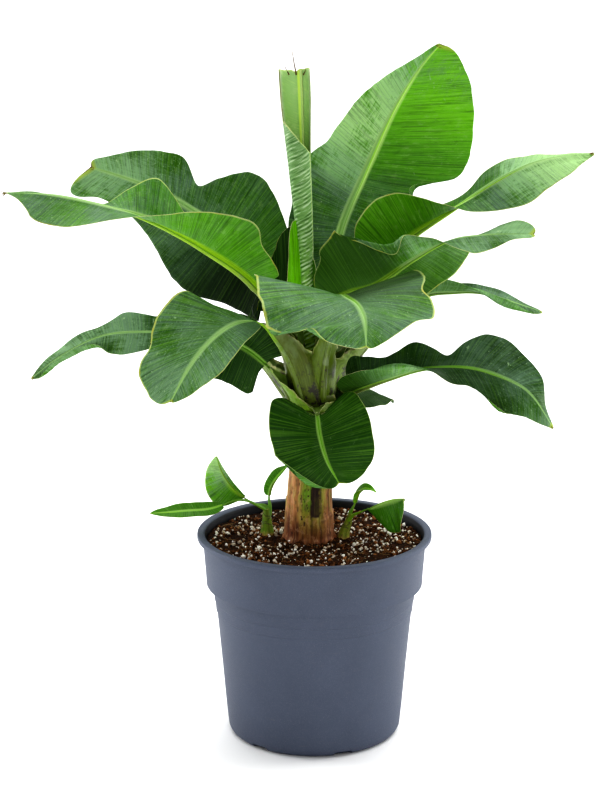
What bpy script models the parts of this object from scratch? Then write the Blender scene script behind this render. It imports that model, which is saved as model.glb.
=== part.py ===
"""Potted banana plant: pot, soil, false stem, leaf stalks, leaf blades and two suckers.

Metres, +Z up.  The origin is on the pot's flat underside, on the pot's axis.
The plant's front faces -Y.  Leaf sizes below are in millimetres.
"""
import bpy
import bmesh
import math
import numpy as np

for old in list(bpy.data.objects):
    bpy.data.objects.remove(old, do_unlink=True)

MM = 0.001
GAP = 0.0003                 # space left between touching pieces

# ---- pot -------------------------------------------------------------
POT_H = 0.240                # rim height above the underside
RIM_R = 0.1351               # outside radius of the rolled lip
LIP_H = 0.0065               # height of the lip's outer face
BAND_TOP_R = 0.1285          # wall just under the lip
BAND_BOT_R = 0.1247          # lower edge of the wide band
BAND_BOT_Z = 0.180
UNDER_R = 0.1168             # wall just under the band's lower edge
RINGS = ((0.1612, 0.1158, 0.1149), (0.1485, 0.1140, 0.1130))   # two small steps: height, radius above, radius below
FOOT_R = 0.1003              # wall above the rounded foot
FOOT_Z = 0.011
BASE_R = 0.0900              # flat underside
WALL = 0.0026
FLOOR = 0.0034
POT_SIDES = 30
NOTCHES = 6                  # drainage notches round the foot
NOTCH_AT = -70.0             # direction of the notch seen at the front
NOTCH_W, NOTCH_H, NOTCH_D = 0.022, 0.0062, 0.012

# ---- soil ------------------------------------------------------------
SOIL_Z = 0.2300
SOIL_SIDES = 30

# ---- false stem and crown --------------------------------------------
STEM_FOOT = (-0.0060, 0.0)   # where the stem leaves the soil
STEM_RINGS = (               # height, x, radius: flare, taper and lean
    (0.0000, -0.0060, 0.0290), (0.0080, -0.0060, 0.0272), (0.0300, -0.0062, 0.0262),
    (0.0600, -0.0055, 0.0250), (0.1000, -0.0035, 0.0240), (0.1390, -0.0010, 0.0230),
    (0.1440, -0.0010, 0.0228),
)
CROWN_RINGS = (              # height above the soil, x, radius
    (0.1444, -0.0010, 0.0222), (0.1540, -0.0010, 0.0212), (0.1760, -0.0012, 0.0175),
    (0.2000, -0.0022, 0.0125), (0.2190, -0.0035, 0.0096), (0.2250, -0.0035, 0.0090),
)
CIGAR = (                    # the rolled leaf: height, x, y, radius
    (0.2254, -0.0035, 0.000, 0.0072), (0.2310, -0.0038, 0.000, 0.0072), (0.2750, -0.0088, 0.000, 0.0070),
    (0.3270, -0.0096, 0.001, 0.0079), (0.3490, -0.0107, 0.001, 0.0090), (0.3940, -0.0139, 0.002, 0.0110),
    (0.4390, -0.0172, 0.004, 0.0128), (0.4620, -0.0189, 0.005, 0.0140), (0.4840, -0.0203, 0.006, 0.0156),
    (0.5070, -0.0214, 0.007, 0.0167), (0.5380, -0.0230, 0.009, 0.0168),
)

# ---- leaves ----------------------------------------------------------
# rib    way points of the stalk and midrib, from foot to tip, mm
# start  share of the rib's length where the blade begins
# face   the way the upper side looks
# wa wb  half-widths left and right of the rib, evenly spaced from base to tip, mm
# fa fb  lift of each half out of the flat, degrees
# ca cb  further turn of each half between rib and edge, degrees
# sweep  lean of the side veins toward the tip, degrees
# base, tip  share of the blade that is rounded off at each end
# stalk  stalk radius at its foot and at the blade, mm
LEAVES = {
    'tall': dict(rib=[(6,14,450),(14,32,508),(30,60,582),(57,84,643),(91,110,713),(122,127,760),(144,134,784)],start=.22,
        face=(-.05,-1,.25),wa=(60,60,60,62,66,68,56,51,48,42,34,26,18,12,9),wb=(50,54,60,64,67,68,62,99,104,98,90,79,71,62,54),fa=(15,10,0,-5),fb=(5,5,0,-10),ca=(0,0,-10),cb=(0,0,0),sa=(-50,-4,15,25,35),sb=(-40,-8,7,20,32),tip=.26,base=.07),
    'back_left': dict(rib=[(-15,15,440),(-34,50,490),(-60,88,530),(-98,110,562),(-146,130,594),(-202,150,618),(-264,168,636)],start=.28,
        face=(-.2,-1,.7),wa=(56,56,62,71,81,80,72,63,55,47,41,39,38,48,62),wb=(52,48,52,66,76,74,51,28,50,49,44,37,27,18,16),fa=(-20,-20,-10),fb=(20,20,10),
  sa=(-66,-26,-11,-4,4,10,15,20,25,28,30,33,35),sb=(-72,-24,-8,0,5,10,15,20,25,28,30,33,35),tip=.1,base=.05),
    'left': dict(rib=[(-24,0,422),(-40,-8,480),(-69,-15,533),(-123,-20,574),(-173,-20,602),(-213,-20,618),(-287,-20,635),(-345,-20,637)],start=.261,
        face=(0,0,1),wa=(26,35,43,63,57,46,36,36,46,52,54,52,46,30,17,8),wb=(24,40,43,46,47,48,52,54,45,34,30,28,23,18,14,10),fa=(84,84,78,68,59,47,32,14,-4,-20,-32,-38,-36,-28,-18,-10),fb=(15,15,13,12,14,20,38,50,22,-10,-15,-12,-12,-10,-6,0),
  sa=(-30,-24,-16,-12,4,12,14,16,18,21,24,27,30,32,34,35),sb=(-30,0,8,12,15,22,30,35,35),tip=.2,base=.05),
    'front_left': dict(rib=[(-12,-27,390),(-27,-43,448),(-43,-53,478),(-58,-68,500),(-78,-95,508),(-98,-120,505),(-119,-140,490),(-135,-155,470),(-153,-170,438)],start=.48,
        face=(-.3,-.5,1),wa=(20,22,24,28,32,35,38,39,39,36,32,27,23,18,13),wb=(52,62,72,76,77,75,71,66,66,65,60,55,52,48,46),fa=(-10,-10,-10),fb=(12,16,24,18,13,11,8,6,7,6,3,0,-4,-7,-10),sa=(-5,5,15,25,35),sb=(10,30,38,38,35),tip=.35),
    'front': dict(rib=[(8,-24,402),(12,-42,450),(24,-62,510),(28,-85,535),(36,-110,538),(46,-135,536),(53,-165,526),(54,-200,505)],start=.5,
        face=(0,-.1,1),wa=(88,89,90,90,88,84,74,78,78,74,58,45,33,22,16),wb=(88,95,98,101,106,109,111,110,107,103,92,80,62,45,30),fa=(15,15,14,13,12,10,8,8,8,9,16,12,8,4,0),fb=(18,20,18,14,9,6,4,2,0,-2,6,18,16,10,0),sa=(-8,5,15,25,35),sb=(-8,1,8,17,30),tip=.35,base=.08,grid=(13,3)),
    'cup': dict(rib=[(18,-5,425),(11,-20,480),(20,-30,516),(39,-30,527),(65,-30,534),(108,-30,564),(149,-30,587),(180,-30,592),(242,-30,593)],start=.2714,
        face=(-.2,0,1),wa=(24,30,36,43,46,48,49,50,49,48,43,37,34,32,28,24),wb=(20,47,66,75,58,40,27,30,23,32,34,28,22,18,17,16),fa=(-70,-70,-73,-75,-75,-75,-71,-65,-55,-42,-27,-10,13,32,36,35),fb=(80,80,82,86,88,88,85,75,50,-5,-27,-30,-27,-20,-15,-10),
  sa=(15,15,20,28,35),sb=(-6,-8,-18,-12,2,2,-2,0,5,10,15,20,25,30,33,35),tip=.2,base=.05,grid=(14,3)),
    'right_high': dict(rib=[(14,4,445),(31,10,502),(74,15,552),(111,17,583),(152,18,611),(201,18,644),(243,18,665),(279,20,673),(311,22,675)],start=.3,
        face=(0,0,1),wa=(32,36,36,30,34,30,20,10),wb=(50,57,62,56,41,28,28,35,42,46,43,38,31,22,14),fa=(45,45,15,8,18,10,-8,-10),fb=(68,75,80,76,58,28,-22,-46,-55,-55,-46,-38,-30,-24,-20),sb=(-12,5,8,10,15,20,28,32),tip=.2,base=.08),
    'right_small': dict(rib=[(25,8,410),(60,40,450),(123,80,498),(163,100,500),(195,110,497),(268,130,470)],start=.42,
        face=(0,0,1),wa=(12,12,12,12,14,15,16,14),wb=(12,14,18,12,10,10,12,12),fa=(60,50,30,0),fb=(80,60,-40,-20),tip=.3),
    'right_low': dict(rib=[(26,-15,388),(36,-30,408),(58,-50,424),(80,-60,435),(122,-70,450),(174,-85,454),(222,-95,439),(238,-100,427),(262,-100,390)],start=.10,
        face=(0,-.2,1),wa=(26,42,36,28,28,34,26,17,32,45,46,36,27,21,15,10),wb=(24,28,26,24,22,20,21,24,23,29,36,36,35,28,20,10),fa=(60,60,52,45,45,45,37,30,32,35,36,35,29,20,10,0),fb=(50,56,56,53,46,31,6,-21,-40,-46,-46,-42,-38,-33,-26,-20),
  sa=(-25,0,8,-4,-1,4,12),sb=(-25,0,15,20,18,15,20),tip=.3,base=.1),
    'hang': dict(rib=[(2,-30,386),(2,-42,398),(3,-54,392),(6,-70,372),(14,-86,348),(27,-100,327)],start=.27,
        face=(0,-1,.4),wa=(50,56,60,59,56,52,47,40),wb=(55,58,57,51,42,33,25,18),fa=(20,10,-5),fb=(20,10,-5),tip=.5,base=.12,sweep=(-40,-10,10,25,35),stalk=(4.2,2.8)),
    'far_left': dict(rib=[(-26,9,390),(-75,60,436),(-133,80,452),(-193,100,452),(-249,115,444),(-299,125,418),(-337,130,388)],start=.36,
        face=(0,-.2,1),wa=(25,27,28,24,20,24,28,22,12,10,9,9,10,10,10),wb=(20,21,22,20,19,22,24,17,13,14,14,13,12,10,8),fa=(-60,-50,-30),fb=(60,50,30),tip=.3),
    'low_left': dict(rib=[(-24,-18,386),(-32,-30,415),(-59,-30,449),(-89,-20,466),(-130,0,462),(-168,20,440)],start=.34,
        face=(0,-.3,1),wa=(42,44,44,40,34,24),wb=(32,34,33,30,24,18),fa=(-55,-45,-30),fb=(72,62,48,38,28),sa=(-30,-4,12,25,35),sb=(-40,-6,12,25,35),tip=.4,base=.09),
    'low_right': dict(rib=[(19,23,390),(30,32,393),(48,50,394),(64,72,390),(76,95,376)],start=.3,
        face=(0,0,1),wa=(34,38,36,30,22),wb=(30,34,32,28,20),fa=(20,10,0),fb=(-30,-20,-10),tip=.4,base=.2),
    'back': dict(rib=[(-5,21,425),(-8,60,480),(-6,110,528),(2,165,548),(10,215,535),(14,255,500)],start=.38,
        face=(0,0,1),wa=(45,50,52,50,44,36),wb=(45,50,52,50,44,36),fa=(25,10,-10),fb=(25,10,-10),tip=.4,base=.15),
    'back_right': dict(rib=[(6,26,410),(35,70,455),(60,125,490),(82,185,492),(95,235,465)],start=.36,
        face=(0,0,1),wa=(34,40,42,38,30),wb=(34,40,42,38,30),fa=(20,10,-10),fb=(20,10,-10),tip=.4,base=.15,grid=(10,3)),
    'back_low': dict(rib=[(-17,24,390),(-50,75,420),(-82,125,436),(-103,180,430),(-112,225,402)],start=.36,
        face=(0,0,1),wa=(32,36,36,32,26),wb=(32,36,36,32,26),fa=(10,0,-15),fb=(10,0,-15),tip=.4,base=.15,grid=(10,3)),
    'sucker_left_flat': dict(rib=[(-60,20,262),(-78,18,271),(-92,15,272),(-107,8,268),(-122,0,266),(-148,-10,267),(-171,-20,268),(-187,-30,270)],start=.36,
        face=(0,-.55,1),wa=(11,12,13,12,10,6),wb=(10,11,12,11,9,5),fa=(12,6,0),fb=(12,6,0),tip=.5,base=.2,stalk=(2.4,1.6),grid=(8,2)),
    'sucker_left_up': dict(rib=[(-58,26,262),(-75,25,268),(-95,24,285),(-107,23,304),(-113,22,323)],start=.3,
        face=(0,1,.2),wa=(3,5,5,3),wb=(14,33,25,9),fa=(10,10,10),fb=(10,10,10),sb=(5,-12,8,25),tip=.75,base=.16,stalk=(2.4,1.6),grid=(8,2)),
    'sucker_left_back': dict(rib=[(-52,27,262),(-53,29,273),(-50,31,284),(-42,34,296),(-31,36,308)],start=.22,
        face=(-1,-.5,.5),wa=(7,10,10,5),wb=(7,10,10,5),fa=(40,30,10),fb=(40,30,10),tip=.6,base=.2,stalk=(2.4,1.6),grid=(8,2)),
    'sucker_right_hook': dict(rib=[(42,7,262),(47,6,274),(51,4,285),(57,-1,291),(64,-6,292),(71,-8,289)],start=.22,
        face=(-.6,0,.6),wa=(6,8,7,3),wb=(6,8,7,3),fa=(30,30,10),fb=(30,30,10),tip=.6,base=.2,stalk=(2.4,1.6),grid=(8,2)),
    'sucker_right_broad': dict(rib=[(48,-1,262),(60,-8,269),(75,-16,279),(90,-24,286),(101,-32,289)],start=.25,
        face=(0,-.3,1),wa=(4,9,12,12,7),wb=(8,30,38,37,26),fa=(-50,-50,-50),fb=(-68,-66,-62),sb=(0,-2,2,6,10),tip=.34,base=.12,stalk=(2.4,1.6),grid=(8,2)),
}

BLADE_T = 0.0013             # blade thickness
RIB_T = 0.0034               # keel under the midrib at the base
STALK = (5.0, 3.2)           # usual stalk radius at its foot and at the blade, mm
END_W = 0.0020               # half-width left at the tip of a blade
ROWS, COLS = 12, 3           # blade grid: rows along, columns in each half
STALK_SIDES = 8
STALK_RINGS = 5

# ---- suckers ---------------------------------------------------------
SUCKERS = {
    'sucker_left_stem': ((-55, 20, 0.4, 7.0), (-55, 20, 6, 6.4), (-56, 20, 29, 5.0)),
    'sucker_right_stem': ((34, 5, 0.4, 6.0), (34, 5, 5, 5.4), (42, 5, 28, 4.2)),
}


def paint(name, rgb, rough):
    m = bpy.data.materials.new(name)
    m.use_nodes = True
    b = m.node_tree.nodes['Principled BSDF']
    b.inputs['Base Color'].default_value = (rgb[0], rgb[1], rgb[2], 1.0)
    b.inputs['Roughness'].default_value = rough
    return m


BLADE_GREEN = paint('blade_green', (0.075, 0.19, 0.055), 0.45)
STALK_GREEN = paint('stalk_green', (0.26, 0.34, 0.10), 0.5)
CIGAR_GREEN = paint('rolled_leaf_green', (0.17, 0.33, 0.11), 0.5)
STEM_BROWN = paint('stem_brown', (0.23, 0.13, 0.07), 0.7)
SOIL_BROWN = paint('soil_brown', (0.06, 0.03, 0.015), 0.95)
POT_GREY = paint('pot_grey', (0.08, 0.09, 0.13), 0.55)

body = bpy.data.collections.new('banana_plant')
tools = bpy.data.collections.new('cutters')
bpy.context.scene.collection.children.link(body)
bpy.context.scene.collection.children.link(tools)


def keep(name, mesh, mat, home=None):
    ob = bpy.data.objects.new(name, mesh)
    (home or body).objects.link(ob)
    if mat:
        mesh.materials.append(mat)
    return ob


def solid(name, verts, faces, mat, home=None):
    me = bpy.data.meshes.new(name)
    me.from_pydata([tuple(v) for v in verts], [], faces)
    me.validate()
    bm = bmesh.new()
    bm.from_mesh(me)
    bmesh.ops.recalc_face_normals(bm, faces=bm.faces)
    bm.to_mesh(me)
    bm.free()
    return keep(name, me, mat, home)


# ---- shared shape functions -------------------------------------------
def smooth(vals, t):
    """Even stations joined by a smooth curve."""
    v = np.asarray(vals, float)
    if v.ndim == 0 or len(v) == 1:
        return np.full(np.shape(t), float(v if v.ndim == 0 else v[0]))
    n = len(v) - 1
    x = np.clip(np.asarray(t, float), 0, 1) * n
    i = np.clip(np.floor(x).astype(int), 0, n - 1)
    f = x - i
    e = np.concatenate([[2 * v[0] - v[1]], v, [2 * v[-1] - v[-2]]])
    a, b, c, d = e[i], e[i + 1], e[i + 2], e[i + 3]
    return b + 0.5 * f * (c - a + f * (2 * a - 5 * b + 4 * c - d + f * (3 * (b - c) + d - a)))


def fair(points, m=400):
    """Fair curve through way points, with its running length."""
    p = np.asarray(points, float)
    d = np.linalg.norm(np.diff(p, axis=0), axis=1) ** 0.5
    k = np.concatenate([[0], np.cumsum(d)])
    e = np.vstack([2 * p[0] - p[1], p, 2 * p[-1] - p[-2]])
    ke = np.concatenate([[k[0] - d[0]], k, [k[-1] + d[-1]]])
    out = []
    for q in np.linspace(0, k[-1], m):
        i = max(min(int(np.searchsorted(k, q, side='right')) - 1, len(p) - 2), 0)
        p0, p1, p2, p3 = e[i:i + 4]
        t0, t1, t2, t3 = ke[i:i + 4]
        a1 = (t1 - q) / (t1 - t0) * p0 + (q - t0) / (t1 - t0) * p1
        a2 = (t2 - q) / (t2 - t1) * p1 + (q - t1) / (t2 - t1) * p2
        a3 = (t3 - q) / (t3 - t2) * p2 + (q - t2) / (t3 - t2) * p3
        b1 = (t2 - q) / (t2 - t0) * a1 + (q - t0) / (t2 - t0) * a2
        b2 = (t3 - q) / (t3 - t1) * a2 + (q - t1) / (t3 - t1) * a3
        out.append((t2 - q) / (t2 - t1) * b1 + (q - t1) / (t2 - t1) * b2)
    out = np.array(out)
    return out, np.concatenate([[0], np.cumsum(np.linalg.norm(np.diff(out, axis=0), axis=1))])


def along(points, share):
    """Places and directions at shares of a curve's length."""
    c, s = fair(points)
    q = np.asarray(share) * s[-1]
    h = s[-1] * 0.01

    def at(x):
        x = np.clip(x, 0, s[-1])
        return np.stack([np.interp(x, s, c[:, k]) for k in range(3)], -1)
    t = at(q + h) - at(q - h)
    return at(q), t / np.linalg.norm(t, axis=1)[:, None], s[-1]


def leaf_grid(leaf, rows, cols):
    """Middle surface of a blade and its upper-side normals: rows x (2*cols + 1) points, left edge to right edge."""
    t = np.linspace(0, 1, rows)
    t = 0.6 * t + 0.4 * (0.5 - 0.5 * np.cos(np.pi * t))
    start = leaf['start']
    p, tan, length = along(np.asarray(leaf['rib']) * MM, start + (1 - start) * t)
    face = np.asarray(leaf['face'], float)
    nor = face[None] - (tan @ face)[:, None] * tan
    nor /= np.linalg.norm(nor, axis=1)[:, None]
    sid = np.cross(nor, tan)
    round_a = np.clip(t / leaf.get('base', 0.18), 0, 1)
    round_b = np.clip((1 - t) / leaf.get('tip', 0.25), 0, 1)
    full = (1 - (1 - round_a) ** 2) ** 0.5 * (1 - (1 - round_b) ** 2) ** 0.5
    settle = np.clip(t / 0.04, 0, 1)
    sweep = np.radians(smooth(leaf.get('sweep', (-25, 0, 15, 25, 35)), t)) * settle
    halves = []
    normals = []
    for side, k in ((1, 'a'), (-1, 'b')):
        floor = np.where(t < 0.5, (leaf.get('stalk', STALK)[1] + 1.4) * MM, END_W)
        wide = np.maximum(smooth(leaf['w' + k], t) * MM * full, floor)
        lift = np.radians(smooth(leaf['f' + k], t))
        curl = np.radians(smooth(leaf.get('c' + k, 0), t))
        sw = np.radians(smooth(leaf['s' + k], t)) * settle if 's' + k in leaf else sweep
        row = [p]
        fine = 4
        for q in range(cols * fine):
            ang = lift + curl * (q + 0.5) / (cols * fine)
            d = side * np.cos(ang)[:, None] * sid + np.sin(ang)[:, None] * nor
            d = np.cos(sw)[:, None] * d + np.sin(sw)[:, None] * tan
            row.append(row[-1] + d * (wide / (cols * fine))[:, None])
        halves.append(row[::fine])
        ups = [nor]
        for q in range(1, cols + 1):
            ang = lift + curl * q / cols
            ups.append(-side * np.sin(ang)[:, None] * sid + np.cos(ang)[:, None] * nor)
        normals.append(ups)
    grid = halves[0][::-1] + halves[1][1:]
    ups = normals[0][::-1] + normals[1][1:]
    return np.stack(grid, 1), np.stack(ups, 1), t


def sheet(name, grid, nor, thick, mat):
    """Thin closed blade round a grid of points; thick gives the extra keel under each point."""
    n, m = grid.shape[:2]
    top = grid + nor * BLADE_T / 2
    low = grid - nor * (BLADE_T / 2 + thick[..., None])
    verts = list(top.reshape(-1, 3)) + list(low.reshape(-1, 3))
    off = n * m
    faces = []
    for r in range(n - 1):
        for c in range(m - 1):
            a, b, d, e = r * m + c, r * m + c + 1, (r + 1) * m + c + 1, (r + 1) * m + c
            # both skins are cut along the same diagonal, the shorter one, so that they never cross
            if np.linalg.norm(grid[r, c] - grid[r + 1, c + 1]) < np.linalg.norm(grid[r, c + 1] - grid[r + 1, c]):
                cells = ((a, b, d), (a, d, e))
            else:
                cells = ((a, b, e), (b, d, e))
            for x, y, z in cells:
                faces.append((x, y, z))
                faces.append((off + z, off + y, off + x))
    rim = [r * m for r in range(n)] + [(n - 1) * m + c for c in range(1, m)]
    rim += [r * m + m - 1 for r in range(n - 2, -1, -1)] + [c for c in range(m - 2, 0, -1)]
    for i, a in enumerate(rim):
        b = rim[(i + 1) % len(rim)]
        faces.append((a, b, off + b, off + a))
    return solid(name, verts, faces, mat)


def limb(name, points, radii, mat, sides=STALK_SIDES):
    """One tapering limb with flat cut ends."""
    cu = bpy.data.curves.new(name, 'CURVE')
    cu.dimensions = '3D'
    cu.fill_mode = 'FULL'
    cu.bevel_depth = 1.0
    cu.bevel_resolution = sides // 4 - 1
    cu.use_fill_caps = True
    sp = cu.splines.new('POLY')
    sp.points.add(len(points) - 1)
    for q, (pt, r) in enumerate(zip(points, radii)):
        sp.points[q].co = (pt[0], pt[1], pt[2], 1.0)
        sp.points[q].radius = float(r)
    ob = bpy.data.objects.new(name, cu)
    body.objects.link(ob)
    cu.materials.append(mat)
    return ob


def turned(name, profile, sides, mat, home=None, flip=False):
    """Closed profile of (radius, height) turned round the Z axis."""
    me = bpy.data.meshes.new(name)
    pts = [(r, 0.0, z) for r, z in profile]
    edges = [(i, i + 1) for i in range(len(pts) - 1)]
    me.from_pydata(pts, edges, [])
    ob = keep(name, me, mat, home)
    sc = ob.modifiers.new('turn', 'SCREW')
    sc.axis = 'Z'
    sc.angle = math.tau
    sc.steps = sides
    sc.render_steps = sides
    sc.use_merge_vertices = True
    sc.merge_threshold = 0.00005
    sc.use_normal_calculate = True
    sc.use_normal_flip = flip
    return ob


# ---- pot -------------------------------------------------------------
def wall_radius(z):
    """Outer wall radius at a height below the lip."""
    z_steps = (FOOT_Z, RINGS[1][0] - 0.001, BAND_BOT_Z - 0.0015, BAND_BOT_Z, POT_H - LIP_H)
    r_steps = (FOOT_R, RINGS[1][2], UNDER_R, BAND_BOT_R, BAND_TOP_R)
    return float(np.interp(z, z_steps, r_steps))


# inside of the pot, floor to headspace
INSIDE = [(BASE_R, FLOOR), (FOOT_R - WALL, FOOT_Z + 0.001), (wall_radius(0.080) - WALL, 0.080),
          (RINGS[1][2] - WALL, RINGS[1][0]), (UNDER_R - WALL, BAND_BOT_Z + 0.0012), (BAND_BOT_R - WALL, BAND_BOT_Z + 0.0032)]
TOP_INSIDE = (BAND_TOP_R - WALL, POT_H - 0.002)


def pot_profile():
    out = [(0.0, 0.0), (BASE_R, 0.0)]
    for k in (1, 2, 3):
        a = math.radians(30 * k)
        out.append((BASE_R + (FOOT_R - BASE_R) * math.sin(a), FOOT_Z * (1 - math.cos(a))))
    out.append((wall_radius(0.080), 0.080))
    for z, above, below in reversed(RINGS):
        out += [(below, z - 0.001), (above, z)]
    out += [(UNDER_R, BAND_BOT_Z - 0.0015), (BAND_BOT_R, BAND_BOT_Z)]
    out += [(BAND_TOP_R, POT_H - LIP_H - 0.001), (RIM_R - 0.0006, POT_H - LIP_H), (RIM_R, POT_H - LIP_H + 0.002),
            (RIM_R, POT_H - 0.0018), (RIM_R - 0.0016, POT_H), (BAND_TOP_R - 0.0005, POT_H),
            TOP_INSIDE]
    return out + INSIDE[::-1] + [(0.0, FLOOR)]


pot = turned('pot', pot_profile(), POT_SIDES, POT_GREY)
for q in range(NOTCHES):
    ang = math.radians(NOTCH_AT + 360.0 / NOTCHES * q)
    me = bpy.data.meshes.new('notch_cutter_%d' % (q + 1))
    bm = bmesh.new()
    bmesh.ops.create_cube(bm, size=1.0)
    bm.to_mesh(me)
    bm.free()
    cut = keep('notch_cutter_%d' % (q + 1), me, None, tools)
    cut.scale = (NOTCH_D * 2, NOTCH_W, NOTCH_H * 2)
    cut.location = (FOOT_R * math.cos(ang), FOOT_R * math.sin(ang), 0.0)
    cut.rotation_euler = (0, 0, ang)
    cut.hide_render = True
    cut.display_type = 'WIRE'
    bo = pot.modifiers.new('notch_%d' % (q + 1), 'BOOLEAN')
    bo.operation = 'DIFFERENCE'
    bo.solver = 'EXACT'
    bo.object = cut

# ---- soil ------------------------------------------------------------
CLEAR = GAP + 0.0002
soil_profile = [(0.0, FLOOR + CLEAR), (BASE_R - 0.002, FLOOR + CLEAR), (FOOT_R - WALL - CLEAR - 0.0004, FOOT_Z + 0.0018)]
soil_profile += [(r - CLEAR, z) for r, z in INSIDE[2:]]
soil_top_r = float(np.interp(SOIL_Z, (INSIDE[-1][1], TOP_INSIDE[1]), (INSIDE[-1][0], TOP_INSIDE[0])))
soil_profile += [(soil_top_r - CLEAR, SOIL_Z), (0.0, SOIL_Z)]
soil = turned('soil', soil_profile, SOIL_SIDES, SOIL_BROWN, flip=True)

# ---- false stem, crown and rolled leaf -----------------------------------
limb('false_stem', [(x, 0.0, SOIL_Z + GAP + h) for h, x, r in STEM_RINGS], [r for h, x, r in STEM_RINGS], STEM_BROWN, 16)
limb('crown', [(x, 0.0, SOIL_Z + GAP + h) for h, x, r in CROWN_RINGS], [r for h, x, r in CROWN_RINGS], STALK_GREEN, 16)
limb('rolled_leaf', [(x, y, SOIL_Z + GAP + h) for h, x, y, r in CIGAR], [r for h, x, y, r in CIGAR], CIGAR_GREEN, 12)

# ---- leaves ------------------------------------------------------------
for name, leaf in LEAVES.items():
    foot_r, top_r = leaf.get('stalk', STALK)
    pts = np.asarray(leaf['rib'], float) * MM
    whole = along(pts, [0.0, 1.0])[2]
    end = leaf['start'] - (GAP + 0.0004) / whole
    even = np.linspace(0, 1, STALK_RINGS)
    even = np.insert(even, -1, 1 - 0.002 / (end * whole))    # squares the cut to the blade
    share = even * end
    p, tan, _ = along(pts, share)
    limb('stalk_' + name, p, [(foot_r + (top_r - foot_r) * s ** 0.8) * MM for s in even], STALK_GREEN)
    rows, cols = leaf.get('grid', (ROWS, COLS))
    grid, ups, t = leaf_grid(leaf, rows, cols)
    thick = np.zeros(grid.shape[:2])
    thick[:, cols] = RIB_T * (1 - t) * leaf.get('stalk', STALK)[1] / STALK[1]
    sheet('blade_' + name, grid, ups, thick, BLADE_GREEN)

# ---- suckers -----------------------------------------------------------
for name, rings in SUCKERS.items():
    limb(name, [(x * MM, y * MM, SOIL_Z + h * MM) for x, y, h, r in rings], [r * MM for x, y, h, r in rings], STALK_GREEN)
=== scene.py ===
"""Looks of the potted banana plant: detailed leaves, sheaths, false stem, soil and pot round the fixed frame."""
import bpy
import bmesh
import math
import numpy as np
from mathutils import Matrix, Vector


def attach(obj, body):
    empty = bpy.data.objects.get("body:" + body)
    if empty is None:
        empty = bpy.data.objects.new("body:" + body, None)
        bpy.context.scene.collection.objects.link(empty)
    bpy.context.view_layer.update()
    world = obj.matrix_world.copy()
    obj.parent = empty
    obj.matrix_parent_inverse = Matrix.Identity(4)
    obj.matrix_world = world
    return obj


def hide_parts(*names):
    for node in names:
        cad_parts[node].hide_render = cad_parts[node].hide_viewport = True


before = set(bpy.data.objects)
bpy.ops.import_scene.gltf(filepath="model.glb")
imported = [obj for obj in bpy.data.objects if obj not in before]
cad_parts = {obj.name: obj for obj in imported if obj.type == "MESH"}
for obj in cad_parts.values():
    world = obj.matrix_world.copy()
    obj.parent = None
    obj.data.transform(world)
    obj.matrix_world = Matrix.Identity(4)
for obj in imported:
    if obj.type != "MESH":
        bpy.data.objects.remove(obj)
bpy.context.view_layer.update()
MM = 0.001
POT_H = 0.240
SOIL_Z = 0.230
STEM_X = -0.006

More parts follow.
